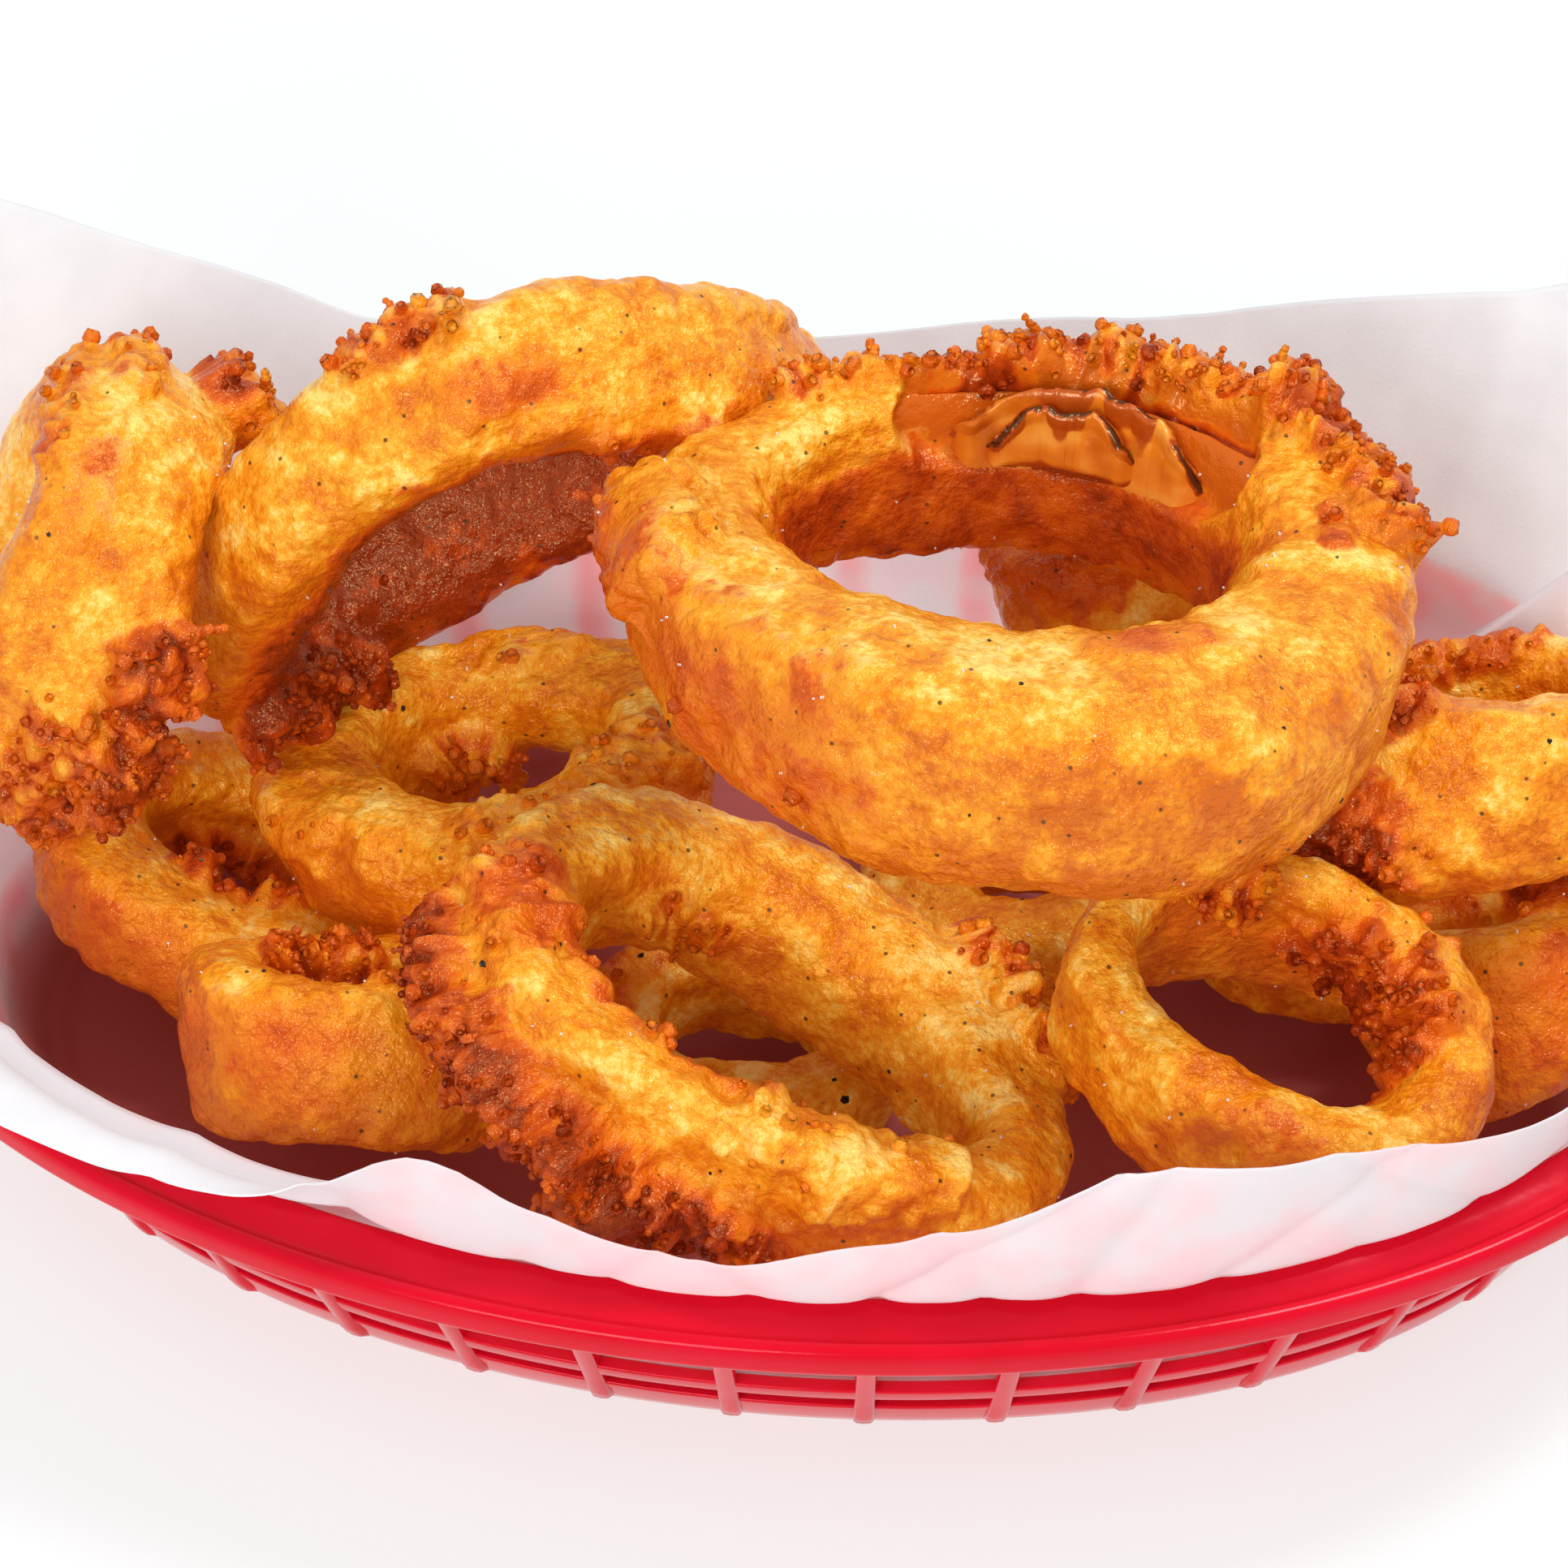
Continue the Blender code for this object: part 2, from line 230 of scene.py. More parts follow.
class Finish:
    """A material with one Principled shader, written as sums on wires."""

    def __init__(self, name):
        self.material = bpy.data.materials.new(name)
        self.material.use_nodes = True
        self.material.cycles.emission_sampling = "NONE"
        self.tree = self.material.node_tree
        self.shader = self.tree.nodes["Principled BSDF"]
        self.place = self.add("ShaderNodeTexCoord", output="Object")

    def add(self, kind, settings=None, values=None, output=0):
        """Any node. Its settings come first, then its sockets' numbers and links."""
        made = self.tree.nodes.new(kind)
        for key, value in (settings or {}).items():
            if key != "stops":
                setattr(made, key, value)
                continue
            ramp = made.color_ramp.elements
            for number, (position, colour) in enumerate(value):
                stop = ramp[number] if number < len(ramp) else ramp.new(position)
                stop.position = position
                stop.color = (*colour, 1.0)
        for key, value in (values or {}).items():
            self.feed(made.inputs[key], value)
        return Wire(self, made.outputs[output])

    def feed(self, socket, value):
        """Joins a wire to a socket, or gives the socket a number or colour of its own."""
        if isinstance(value, Wire):
            self.tree.links.new(value.socket, socket)
        elif socket.type == "RGBA":
            socket.default_value = (*value, 1.0)
        else:
            socket.default_value = value

    def noise(self, size, detail=2.0, rough=0.5, swirl=0.0):
        """Soft noise from nought to one, its lumps this many millimetres across."""
        return self.add("ShaderNodeTexNoise", {}, {
            "Vector": self.place, "Scale": 1.0 / (size * MM), "Detail": detail,
            "Roughness": rough, "Distortion": swirl}, "Fac")

    def layer(self, name):
        """The numbers that the mesh carries under this name."""
        return self.add("ShaderNodeAttribute", {"attribute_name": name}, {}, "Fac")

    def blend(self, share, first, second):
        """Two colours mixed by a share."""
        return self.add("ShaderNodeMix", {"data_type": "RGBA"}, {0: share, 6: first, 7: second}, 2)

    def relief(self, height):
        """Normals bent by a height in millimetres."""
        return self.add("ShaderNodeBump", {}, {"Strength": 1.0, "Distance": MM, "Height": height})

    def set(self, **values):
        """The shader's own sockets: plain numbers, or wires where the value varies. Gives the
        material."""
        for key, value in values.items():
            self.feed(self.shader.inputs[key.replace("_", " ")], value)
        return self.material


def red_plastic():
    """Glossy red polypropylene with a faint flow mottle, an orange-peel skin and fine scuffs."""
    finish = Finish("glossy red plastic")
    flow = finish.noise(24.0, 3.0, 0.55, 0.6)
    peel = finish.noise(1.6, 2.0)
    scuff = finish.noise(0.5, 2.0, 0.7)
    colour = finish.blend(flow.between(0.3, 0.7), (0.62, 0.0010, 0.013), (0.68, 0.002, 0.019))
    rough = 0.09 + 0.07 * flow.between(0.35, 0.65) + 0.05 * scuff
    return finish.set(Base_Color=colour, Roughness=rough,
                      Normal=finish.relief(0.02 * peel + 0.05 * finish.noise(9.0, 2.0)),
                      Specular_IOR_Level=0.30, Specular_Tint=(1.0, 0.45, 0.50))


def shrink(size, amount):
    """Half length and half width, both smaller by one amount."""
    return (size[0] - amount, size[1] - amount)


def wall_size(height):
    """Half length and half width of the wall's outside at one height."""
    share = (height - BASE_BAND_TOP) / (NECK_HEIGHT - BASE_BAND_TOP)
    neck = shrink(RIM_OUTER, FLANGE_WIDTH)
    return tuple(low + (high - low) * share for low, high in zip(BASE_BAND, neck))


def rim_profile():
    """Flange, bead, lip and top band as one rounded outline, from the neck's inside outwards."""
    neck = shrink(RIM_OUTER, FLANGE_WIDTH + WALL)
    band = wall_size(TOP_BAND_BOTTOM)
    inset_rises = ((8.0, 0.9), (5.0, 0.0), (3.1, -0.35), (2.5, -0.2), (1.6, 0.45), (0.5, 0.2),
                   (0.0, -0.7), (0.0, -3.5), (1.4, -3.6), (1.6, -2.0), (6.9, -1.6))
    rows = [(*shrink(RIM_OUTER, inset), RIM_HEIGHT + rise) for inset, rise in inset_rises]
    rows += [(*band, TOP_BAND_BOTTOM), (*shrink(band, WALL), TOP_BAND_BOTTOM), (*neck, NECK_HEIGHT)]
    return rounded(rows, 0.9, 6)


def bar_profile():
    """The wall's one bar: a hoop that stands out a little from the wall's outside."""
    rows = []
    for side, levels in ((BAR_STAND, BAR_LEVELS), (-WALL, BAR_LEVELS[::-1])):
        rows += [(*shrink(wall_size(height), -side), height) for height in levels]
    return rounded(rows, 0.7)


def rib_tubes():
    """Ribs: a bar follows the wall's outside down to the foot and curls under it. Its section
    is (w cos t, d sin t) raised to a soft square, drawn in at the ends."""
    low, inset = np.array(RIB_CURL).T
    height = np.concatenate([np.linspace(NECK_HEIGHT + 0.2, BASE_BAND_TOP, 12), low])
    sizes = np.array([wall_size(max(level, BASE_BAND_TOP)) for level in height])
    sizes[-len(low):] -= inset[:, None]
    sizes += RIB_STAND - 0.5 * RIB_DEPTH
    along = np.linspace(0.0, 1.0, len(height))
    taper = np.clip(np.minimum(along, 1.0 - along) * 9.0 + 0.55, 0.0, 1.0)
    centres = even_angles(RIBS)
    path = sweep(np.column_stack([sizes, height]), centres)
    sideways = np.stack([-np.sin(centres), np.cos(centres)], axis=-1)[:, None] * sizes
    across = unit(np.concatenate([sideways, np.zeros((RIBS, len(height), 1))], axis=-1))
    outward = np.cross(unit(np.gradient(path, axis=1)), across)
    turn = full_turn(12)
    wide = 0.5 * RIB_WIDTH * soft(np.cos(turn), 0.6)[:, None]
    deep = 0.5 * RIB_DEPTH * soft(np.sin(turn), 0.6)[:, None]
    section = across[:, :, None] * wide + outward[:, :, None] * deep
    return path[:, :, None] + taper[:, None, None] * section


def floor_spokes():
    """Spokes: straight bars from under the floor plate out to the foot ring, rounded on top."""
    share = np.linspace(*SPOKE_SHARES, 5)
    path = sweep(np.stack([share * FOOT[0], share * FOOT[1], np.full(5, 0.5 * FLOOR)], axis=-1),
                 even_angles(RIBS))
    across = np.cross(unit(path[:, -1:] - path[:, :1]), [0.0, 0.0, 1.0])
    turn = full_turn(8)[:, None]
    wide = (0.7 + 0.9 * (share - SPOKE_SHARES[0]))[:, None, None]
    rise = np.array([0.0, 0.0, 0.45 * FLOOR]) * np.sin(turn)
    return path[:, :, None] + across[:, :, None] * np.cos(turn) * wide + rise


def red_basket():
    """Rim, bar and foot swept round the oval, with the ribs, the spokes and the floor plate."""
    angles = even_angles(BASKET_COLUMNS)
    base = wall_size(BASE_BAND_TOP)
    foot = rounded([(*base, BASE_BAND_TOP), (*shrink(FOOT, -0.4), 2.4), (*shrink(FOOT, 1.2), 0.0),
                    (*shrink(FOOT, 14.0), 0.0), (*shrink(FOOT, 14.2), FLOOR),
                    (*shrink(FOOT, 3.2), FLOOR), (*shrink(FOOT, 1.8), 3.2),
                    (*shrink(base, WALL), BASE_BAND_TOP)], 0.8)
    solids = []
    for profile in (rim_profile(), bar_profile(), foot):
        points = sweep(profile, angles)
        solids.append((points.reshape(-1, 3), [grid_faces(len(angles), len(profile))]))
    plate = (PLATE_SHARE * FOOT[0], PLATE_SHARE * FOOT[1])
    levels = ((*shrink(plate, 0.4), PLATE_BOTTOM), (*plate, 0.5 * (PLATE_BOTTOM + FLOOR)),
              (*shrink(plate, 0.4), FLOOR))
    disc = sweep(levels, even_angles(96)).swapaxes(0, 1)[None]
    solids += [closed_tubes(tubes) for tubes in (rib_tubes(), floor_spokes(), disc)]
    return add_piece("red_basket", solids, red_plastic())


basket = red_basket()
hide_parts("basket")

# ------------------------ paper liner
# One sheet of thin white greaseproof paper pressed into the basket. It lines the floor and the
# wall, pleats where it turns upwards, and its corners stand up behind. It is held only by the
# food on it, and it looks pink where red plastic lies against its back.

PAPER_THICKNESS = 0.24
PAPER_CLEAR = 0.65
PAPER_COLUMNS = 512
COLLAR_ROWS = 44
COLLAR_FOOT = 45.8
PAPER_OVER_FLANGE = 4.4
# How red the paper looks: over a slot, how much more over plastic, and a painted pink glow low down
# at the front.
SLOT_RED, PLASTIC_RED, PAINTED_FRONT_GLOW = 0.34, 0.54, 0.42
# The collar's edge: direction in degrees from +X towards +Y, height along the paper, and lean
# outwards in degrees.
COLLAR = ((0, 34, 32), (22, 66, 30), (34, 56, 30), (50, 38, 30), (70, 22, 30), (90, 14, 30),
          (108, 11, 30), (122, 18, 30), (138, 36, 30), (156, 62, 28), (168, 56, 28),
          (180, 36, 35), (200, 18, 50), (214, 13, 78), (222, 12, 88), (229.5, 10.5, 94),
          (236.5, 9, 98), (243, 8.5, 72), (247, 10.5, 40), (249.7, 14, 12), (252.5, 17.6, 0),
          (254, 17.7, -2), (256.5, 12, -3), (260, 8.6, -2), (265, 7.2, 0), (270.5, 4.6, 0),
          (273, 6.2, 0), (275.5, 9.9, 0), (279, 10.4, 0), (284, 12.4, 0), (287, 13.7, 0),
          (290.5, 18.4, 0), (295.5, 20.2, 0), (302, 18.6, 0), (309, 16.7, 0), (316, 14, 3),
          (325, 10, 15), (335, 16, 20), (345, 23, 22))
# The fold's edge: direction and height where it starts and where it has climbed to. It runs
# round to the last direction, and stands this far off the sheet in millimetres.
FOLD_LOW = (46.0, 36.0)
FOLD_HIGH = (36.0, 57.0)
FOLD_END = 3.0
FOLD_STAND = 2.4
# Pleats: direction in degrees, slant in degrees for each millimetre up, half width in
# millimetres, depth in millimetres, and the height from which the pleat is at its deepest.
PLEATS = ((8, 0.10, 5, 1.2, 60), (20, -0.12, 7, 1.5, 70), (33, 0.08, 5, 1.1, 60),
          (47, 0.05, 4, 0.9, 55), (96, 0.02, 6, 0.8, 48), (124, -0.06, 5, 1.0, 50),
          (141, 0.10, 6, 1.3, 60), (157, -0.10, 6, 1.6, 70), (171, 0.10, 5, 1.4, 60),
          (186, 0.16, 5, 1.3, 52), (196, -0.12, 4, 1.2, 48), (207, 0.20, 5, 1.1, 46),
          (219, -0.10, 4, 0.9, 46), (236, 0.15, 5, 1.3, 45), (248, -0.20, 5, 2.4, 48),
          (259, 0.20, 4, 0.9, 48), (264, 0.55, 2.5, 1.0, 46), (273, -0.60, 2.5, 1.1, 46),
          (279, 0.75, 2.2, 1.5, 46), (286, -0.25, 3, 1.2, 46), (291, 0.30, 3, 1.2, 46),
          (299, 0.90, 3, 0.9, 47), (309, 0.10, 5, 0.8, 47), (319, -0.70, 3, 0.9, 47),
          (331, -0.15, 5, 1.0, 50), (346, 0.12, 6, 1.2, 55))


def scramble(cells, seed):
    """A fixed number from 0 to 1 for each whole-numbered cell: its three numbers and the seed
    are multiplied by large odd numbers, and their bits are mixed."""
    mixed = np.uint32(seed * 0x9E3779B1 & 0xFFFFFFFF)
    for axis, odd in enumerate((0x8DA6B343, 0xD8163841, 0xCB1AB31F)):
        mixed = mixed ^ cells[..., axis].astype(np.uint32) * np.uint32(odd)
    for shift, odd in ((15, 0x85EBCA6B), (13, 0xC2B2AE35), (16, 1)):
        mixed ^= mixed >> np.uint32(shift)
        mixed *= np.uint32(odd)
    return mixed.astype(np.float64) / 0xFFFFFFFF


def soft_noise(points, size, seed):
    """Smooth noise from -1 to 1: scrambled values at cell corners, mixed by the eased position
    t^3 (6t^2 - 15t + 10) inside the cell."""
    place = points / size + 1000.0
    cell = np.floor(place).astype(np.int64)
    part = place - cell
    ease = part * part * part * (part * (part * 6.0 - 15.0) + 10.0)
    total = 0.0
    for corner in range(8):
        step = np.array([corner & 1, corner >> 1 & 1, corner >> 2 & 1])
        share = np.prod(np.where(step == 1, ease, 1.0 - ease), axis=-1)
        total = total + share * scramble(cell + step, seed)
    return 2.0 * total - 1.0


def layered_noise(points, size, seed, layers=3):
    """Soft noise summed over layers, each half the size and half the strength of the last."""
    total = 0.0
    for layer in range(layers):
        total = total + soft_noise(points, size * 0.5 ** layer, seed + layer) * 0.5 ** layer
    return total / (2.0 - 0.5 ** (layers - 1))


def beads(points, size, seed):
    """Rounded beads: 1 - (d / r)^2, where d is the distance to the nearest of the points that
    are scattered one to a cell, and r is 0.75 of a cell, never below nought."""
    place = points / size + 1000.0
    cell = np.floor(place).astype(np.int64)
    nearest = np.full(place.shape[:-1], 9.0)
    for corner in range(27):
        step = np.array([corner % 3, corner // 3 % 3, corner // 9]) - 1
        near = cell + step
        spot = np.stack([scramble(near, seed + axis) for axis in range(3)], axis=-1)
        gap = near + 0.15 + 0.7 * spot - place
        nearest = np.minimum(nearest, np.sum(gap * gap, axis=-1))
    return np.maximum(0.0, 1.0 - nearest / 0.5625)


def ease(value, low, high):
    """Nought up to low, one from high, and 3t^2 - 2t^3 between them."""
    share = np.clip((value - low) / (high - low), 0.0, 1.0)
    return share * share * (3.0 - 2.0 * share)


def collar(angles):
    """Height and lean of the paper above the rim, smoothed between its directions."""
    table = np.array(COLLAR, float)
    spread = np.radians((-3.0, -1.5, 0.0, 1.5, 3.0))
    around = np.degrees(np.mod(angles[:, None] + spread, 2.0 * math.pi))
    height, lean = (np.interp(around, table[:, 0], column, period=360.0).mean(axis=1)
                    for column in table.T[1:])
    return height, np.radians(lean)


def paper_sheet(angles, rows):
    """The sheet's middle: floor, corner and wall up to the collar's foot as ovals, then
    foot + s h (outward sin lean, cos lean), where h is the collar's height."""
    inside_foot = shrink(FOOT, WALL + PAPER_CLEAR)
    neck = shrink(RIM_OUTER, FLANGE_WIDTH + WALL + PAPER_CLEAR)
    levels = [(2.0, 1.2, 2.5), (*shrink(inside_foot, 9.0), 2.5), (*shrink(inside_foot, 5.0), 2.8),
              (*shrink(inside_foot, 1.6), 4.2), (*shrink(BASE_BAND, WALL + PAPER_CLEAR), 9.0),
              (*neck, NECK_HEIGHT), (*neck, COLLAR_FOOT)]
    shares = np.concatenate([np.linspace(0.0, 1.0, 12), np.linspace(1.25, 4.0, 12),
                             np.linspace(4.12, 5.0, 16), (5.33, 5.66, 6.0)])
    profile = np.stack([np.interp(shares, np.arange(len(levels)), column)
                        for column in np.array(levels).T], axis=-1)
    lower = sweep(profile, angles)
    height, lean = collar(angles)
    outward = unit(np.stack([np.cos(angles) * RIM_OUTER[1], np.sin(angles) * RIM_OUTER[0]],
                            axis=-1))
    along = np.linspace(0.0, 1.0, rows + 1)[1:]
    # The lean comes in over the first few millimetres, as paper can't turn sharply.
    bend = ease(along[None] * height[:, None], -1.0, 8.0)
    reach = height[:, None] / rows
    away = np.cumsum(np.sin(lean[:, None] * bend) * reach, axis=1)
    climb = np.cumsum(np.cos(lean[:, None] * bend) * reach, axis=1)
    # At the front the paper lies a little way out over the flange before it stands up.
    front = ease(-np.sin(angles), 0.2, 0.8)[:, None]
    away += PAPER_OVER_FLANGE * front * ease(climb, 0.0, 0.8)
    foot = lower[:, -1:]
    upper = np.concatenate([foot[..., :2] + outward[:, None] * away[..., None],
                            foot[..., 2:] + climb[..., None]], axis=-1)
    return np.concatenate([lower, upper], axis=1), outward


def folds(points, angles):
    """How far the paper stands inwards: pleats of depth e^(-1.6 |x| / w), a little rounded on
    top, where x runs across the slanted pleat and w is its half width, plus faint crumples."""
    height = points[..., 2]
    direction = np.degrees(np.broadcast_to(angles[:, None], height.shape))
    total = np.zeros(height.shape)
    for middle, slant, half, deep, full in PLEATS:
        turn = (direction - middle - slant * (height - COLLAR_FOOT) + 180.0) % 360.0 - 180.0
        across = np.radians(turn) * np.hypot(points[..., 0], points[..., 1]) / half
        total += deep * np.exp(-1.6 * np.sqrt(across ** 2 + 0.02)) * ease(height, 6.0, full)
    crumple = soft_noise(points, 24.0, 3) + 0.30 * np.abs(soft_noise(points, 11.0, 4))
    return total + 0.9 * crumple * ease(height, 8.0, 55.0) + 0.06 * soft_noise(points, 3.0, 5)


def two_sided(middle, normals, thickness, wrap):
    """A thin closed solid: both faces half a thickness from the middle, joined at their edges.
    A sheet that wraps is closed over its first column by a fan to a point in the middle."""
    rows, columns, _ = middle.shape
    sides = [(middle + side * 0.5 * thickness * normals).reshape(-1, 3) for side in (1, -1)]
    back = rows * columns
    face = grid_faces(rows, columns, ring=wrap, tube=False)
    row = np.arange(rows if wrap else rows - 1)
    after = (row + 1) % rows
    inner = np.stack([after, row], axis=1) * columns
    lines = [inner[:, ::-1] + columns - 1]
    if not wrap:
        first = np.stack([np.arange(columns - 1), np.arange(1, columns)], axis=1)
        lines += [inner, first, first[:, ::-1] + (rows - 1) * columns]
    faces = [face, face[:, ::-1] + back]
    faces += [np.concatenate([line, line[:, ::-1] + back], axis=1) for line in lines]
    if wrap:
        sides += [side[::columns].mean(axis=0, keepdims=True) for side in sides]
        tip = np.full((rows, 1), 2 * back)
        faces += [np.concatenate([inner, tip], axis=1),
                  np.concatenate([inner[:, ::-1] + back, tip + 1], axis=1)]
    return np.concatenate(sides), faces


def grid_normals(points, wrap_rows=True, wrap_columns=False):
    """Unit normals of a grid: the cross product of the steps to its neighbours."""
    steps = [np.roll(points, -1, axis) - np.roll(points, 1, axis) if wrap
             else np.gradient(points, axis=axis)
             for axis, wrap in enumerate((wrap_rows, wrap_columns))]
    return unit(np.cross(*steps))


def redness(points, angles):
    """How much red shows through the paper: most over the top band, the bar, the base and the
    ribs, less over the slots between them, none above the rim, and a painted pink glow low at the
    front."""
    height = points[..., 2]
    share = np.mod(np.linspace(0.0, RIBS, len(angles), endpoint=False) + 0.5, 1.0) - 0.5
    rib = 1.0 - ease(np.abs(share)[:, None], 0.09, 0.16)
    low, high = BAR_LEVELS
    band = (ease(height, TOP_BAND_BOTTOM - 2.0, TOP_BAND_BOTTOM)
            + ease(height, low - 1.5, low) * (1.0 - ease(height, high, high + 1.5)))
    band = np.maximum(band + 1.0 - ease(height, 7.0, 10.0), rib)
    behind = SLOT_RED + PLASTIC_RED * np.clip(band, 0.0, 1.0)
    # Painted glow: the front of the sheet is tinted pink, fading out from 58 mm up.
    front = ease(-np.sin(angles), 0.3, 0.8) * ease(np.cos(angles), -0.45, -0.30)
    above = PAINTED_FRONT_GLOW * front[:, None] * (1.0 - ease(height, 58.0, 74.0))
    # The flange shows through too where the sheet leans back over it.
    top = COLLAR_FOOT - 1.0 + 4.0 * ease(np.sin(angles), -0.1, 0.3)[:, None]
    return np.maximum(behind * (1.0 - ease((height - top) / 2.0, 0.0, 1.0)), above)


def greaseproof():
    """Thin white paper: fine fibres, faint wrinkles, light showing through and a pink cast where
    the basket backs it. The floor is painted dark red, a painted shade low under the rings, and
    that fades up the wall. It glows faintly in its own colour, a painted glow left off in that
    shade."""
    finish = Finish("greaseproof paper")
    fibres = finish.noise(0.9, 2.0, 0.7, 1.5)
    cloud = finish.noise(11.0, 2.0, 0.6)
    # Nought on the floor and one from 17 mm up, in metres as Object coordinates are.
    rise = finish.add("ShaderNodeSeparateXYZ", {}, {0: finish.place}, "Z").between(0.003, 0.017)
    pink = finish.layer("redness") * (0.55 + 0.6 * cloud.between(0.35, 0.65))
    white = finish.blend(cloud.between(0.3, 0.7), (0.72, 0.750, 0.775), (0.76, 0.790, 0.815))
    colour = finish.blend(pink.between(0.0, 1.0), white, (0.90, 0.45, 0.48))
    # Painted shade: the floor is dark red, and the dark fades out 17 mm up the wall.
    colour = finish.blend(rise, (0.42, 0.10, 0.09), colour)
    finish.set(Base_Color=colour, Roughness=0.42 + 0.2 * fibres,
               Normal=finish.relief(0.05 * fibres + 0.25 * finish.noise(9.0, 1.0)),
               # Painted glow: the paper gives off light in its own colour, except in the painted
               # shade low down.
               Emission_Color=finish.blend(rise, (0.0, 0.0, 0.0), colour),
               Emission_Strength=0.215, Specular_IOR_Level=0.3)
    glow = finish.add("ShaderNodeBsdfTranslucent", {}, {"Color": (0.95, 0.90, 0.90)})
    plain = Wire(finish, finish.shader.outputs[0])
    mixed = finish.add("ShaderNodeMixShader", {}, {0: 0.30 * rise, 1: plain, 2: glow})
    finish.feed(finish.tree.nodes["Material Output"].inputs["Surface"], mixed)
    return finish.material


def folded_layer(middle, angles):
    """The sheet lies double at the back right. The upper layer's edge slants up to the right
    and stands proud, and the layer closes onto the sheet along its other sides."""
    share = np.concatenate([np.linspace(0.0, 0.04, 8), np.linspace(0.07, 1.0, 60)])[:, None]
    guide = np.searchsorted(angles, math.radians(0.5 * (FOLD_LOW[0] + FOLD_HIGH[0])))
    start = np.searchsorted(middle[guide, :, 2], FOLD_LOW[1] - 14.0)
    heights = middle[guide, start:, 2]
    climb = (heights - FOLD_LOW[1]) / (FOLD_HIGH[1] - FOLD_LOW[1])
    edge = np.maximum(FOLD_LOW[0] + (FOLD_HIGH[0] - FOLD_LOW[0]) * climb, FOLD_END + 6.0)
    direction = np.radians(edge + (FOLD_END - edge) * share)
    column = np.interp(direction, angles, np.arange(len(angles)))
    left = column.astype(int)
    part = (column - left)[..., None]
    row = np.arange(start, middle.shape[1])
    sheet = middle[left, row] * (1.0 - part) + middle[left + 1, row] * part
    inwards = -sheet * (1.0, 1.0, 0.0) / np.hypot(sheet[..., :1], sheet[..., 1:2])
    foot = ease(np.broadcast_to(heights, left.shape), heights[0], heights[0] + 8.0)
    stand = FOLD_STAND * ease(share, 0.0, 0.04) * (1.0 - ease(share, 0.1, 0.9)) * foot
    return sheet + inwards * (0.35 + stand)[..., None]


def paper_liner():
    """The sheet with its folds, and the layer that lies double on it."""
    angles = even_angles(PAPER_COLUMNS)
    middle, outward = paper_sheet(angles, COLLAR_ROWS)
    inwards = np.concatenate([-outward, np.zeros((len(angles), 1))], axis=1)[:, None]
    middle = middle + inwards * folds(middle, angles)[..., None]
    solid = two_sided(middle, grid_normals(middle), PAPER_THICKNESS, True)
    layer = folded_layer(middle, angles)
    double = two_sided(layer, grid_normals(layer, False), PAPER_THICKNESS, False)
    red = np.concatenate([np.tile(redness(middle, angles).ravel(), 2), (0.5, 0.5),
                          np.full(len(double[0]), 0.24)])
    return add_piece("greaseproof_liner", [solid, double], greaseproof(), layers={"redness": red})


paper = paper_liner()
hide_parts("paper_liner")

# ------------------------ onion rings
# Thick slices of onion dipped in batter and deep fried, fourteen of them heaped loosely. The
# crust is golden, lumpy and oily. It is browner on its edges, and where it dripped it set into
# dark, beaded frills.

SECTION_POWER = 2.5
# The length of a crust's faces and the sizes of what makes it rough, in millimetres.
GRAIN = 0.56
LUMP, RIDGE, BLISTER, WRINKLE = 15.0, 7.0, 5.0, 2.2
BEAD, GRIT, DRAG = 2.4, 1.3, 3.0
PATCH, MOTTLE = 19.0, 4.5

Ring = namedtuple("Ring", "name centre heading lean turn length width height wall batch "
                          "saddle heavy tall", defaults=(0, 0, 0))
# A ring's middle and its turns: turned about its own hole, leant over, then turned to a heading.
# Its outer length and width, its height and its wall's thickness. The batch number sets its
# lumps, saddle bends it, heavy thickens its near side and tall raises its far side.
RINGS = (
    Ring("ring_left_leaning", (-86.5, 10, 65), -178, 66, -135, 58, 51, 24, 15, 1),
    Ring("ring_back_arch", (-39.5, 32, 67), -58, 122, 106, 84, 72, 20, 12, 2, 4.5, 0, 0),
    Ring("ring_top", (26, 2, 84), 84, 9, -81, 87, 81, 25, 19, 3, 0, 0.38, 0.05),
    Ring("ring_front_leaning", (0, -32, 42.5), 23, 25, -36, 79, 59, 17, 13.5, 4, 0, -0.2, 0),
    Ring("ring_front_right", (59, -27, 47), -39, 16, 21, 51, 41, 19, 9, 5),
    Ring("ring_middle_left", (-38, 16, 32.5), 152, 9, -135, 54, 50, 16, 15, 6, 0, 0.2, 0),
    Ring("ring_left_low", (-70, 8, 19), 21, 19, -24, 50, 44, 15, 13, 7),
    Ring("ring_front_left", (-49, -25, 28), 90, 33, -81, 42, 30, 22, 12, 8),
    Ring("ring_right_high", (78.5, 13.5, 51), 102, 36, -100, 53, 46, 26, 14, 9),
    Ring("ring_right_low", (85, 1, 28), 136, 35, -123, 34, 32, 21, 12, 10),
    Ring("ring_back_right", (42.5, 43.5, 53.5), 139, 4, -135, 48, 38, 19, 12, 11),
    Ring("ring_under_front", (-4, -7, 14), 5, 3, -1, 40, 36, 14, 11, 12),
    Ring("ring_centre_low", (26.5, 18, 19), 115, 5, -109, 38, 36, 16, 11, 13),
    Ring("ring_right_back_low", (63, 23, 16), 30, 4, -34, 34, 32, 15, 11, 15),
)

Crust = namedtuple("Crust", "start end side reach stand brown")
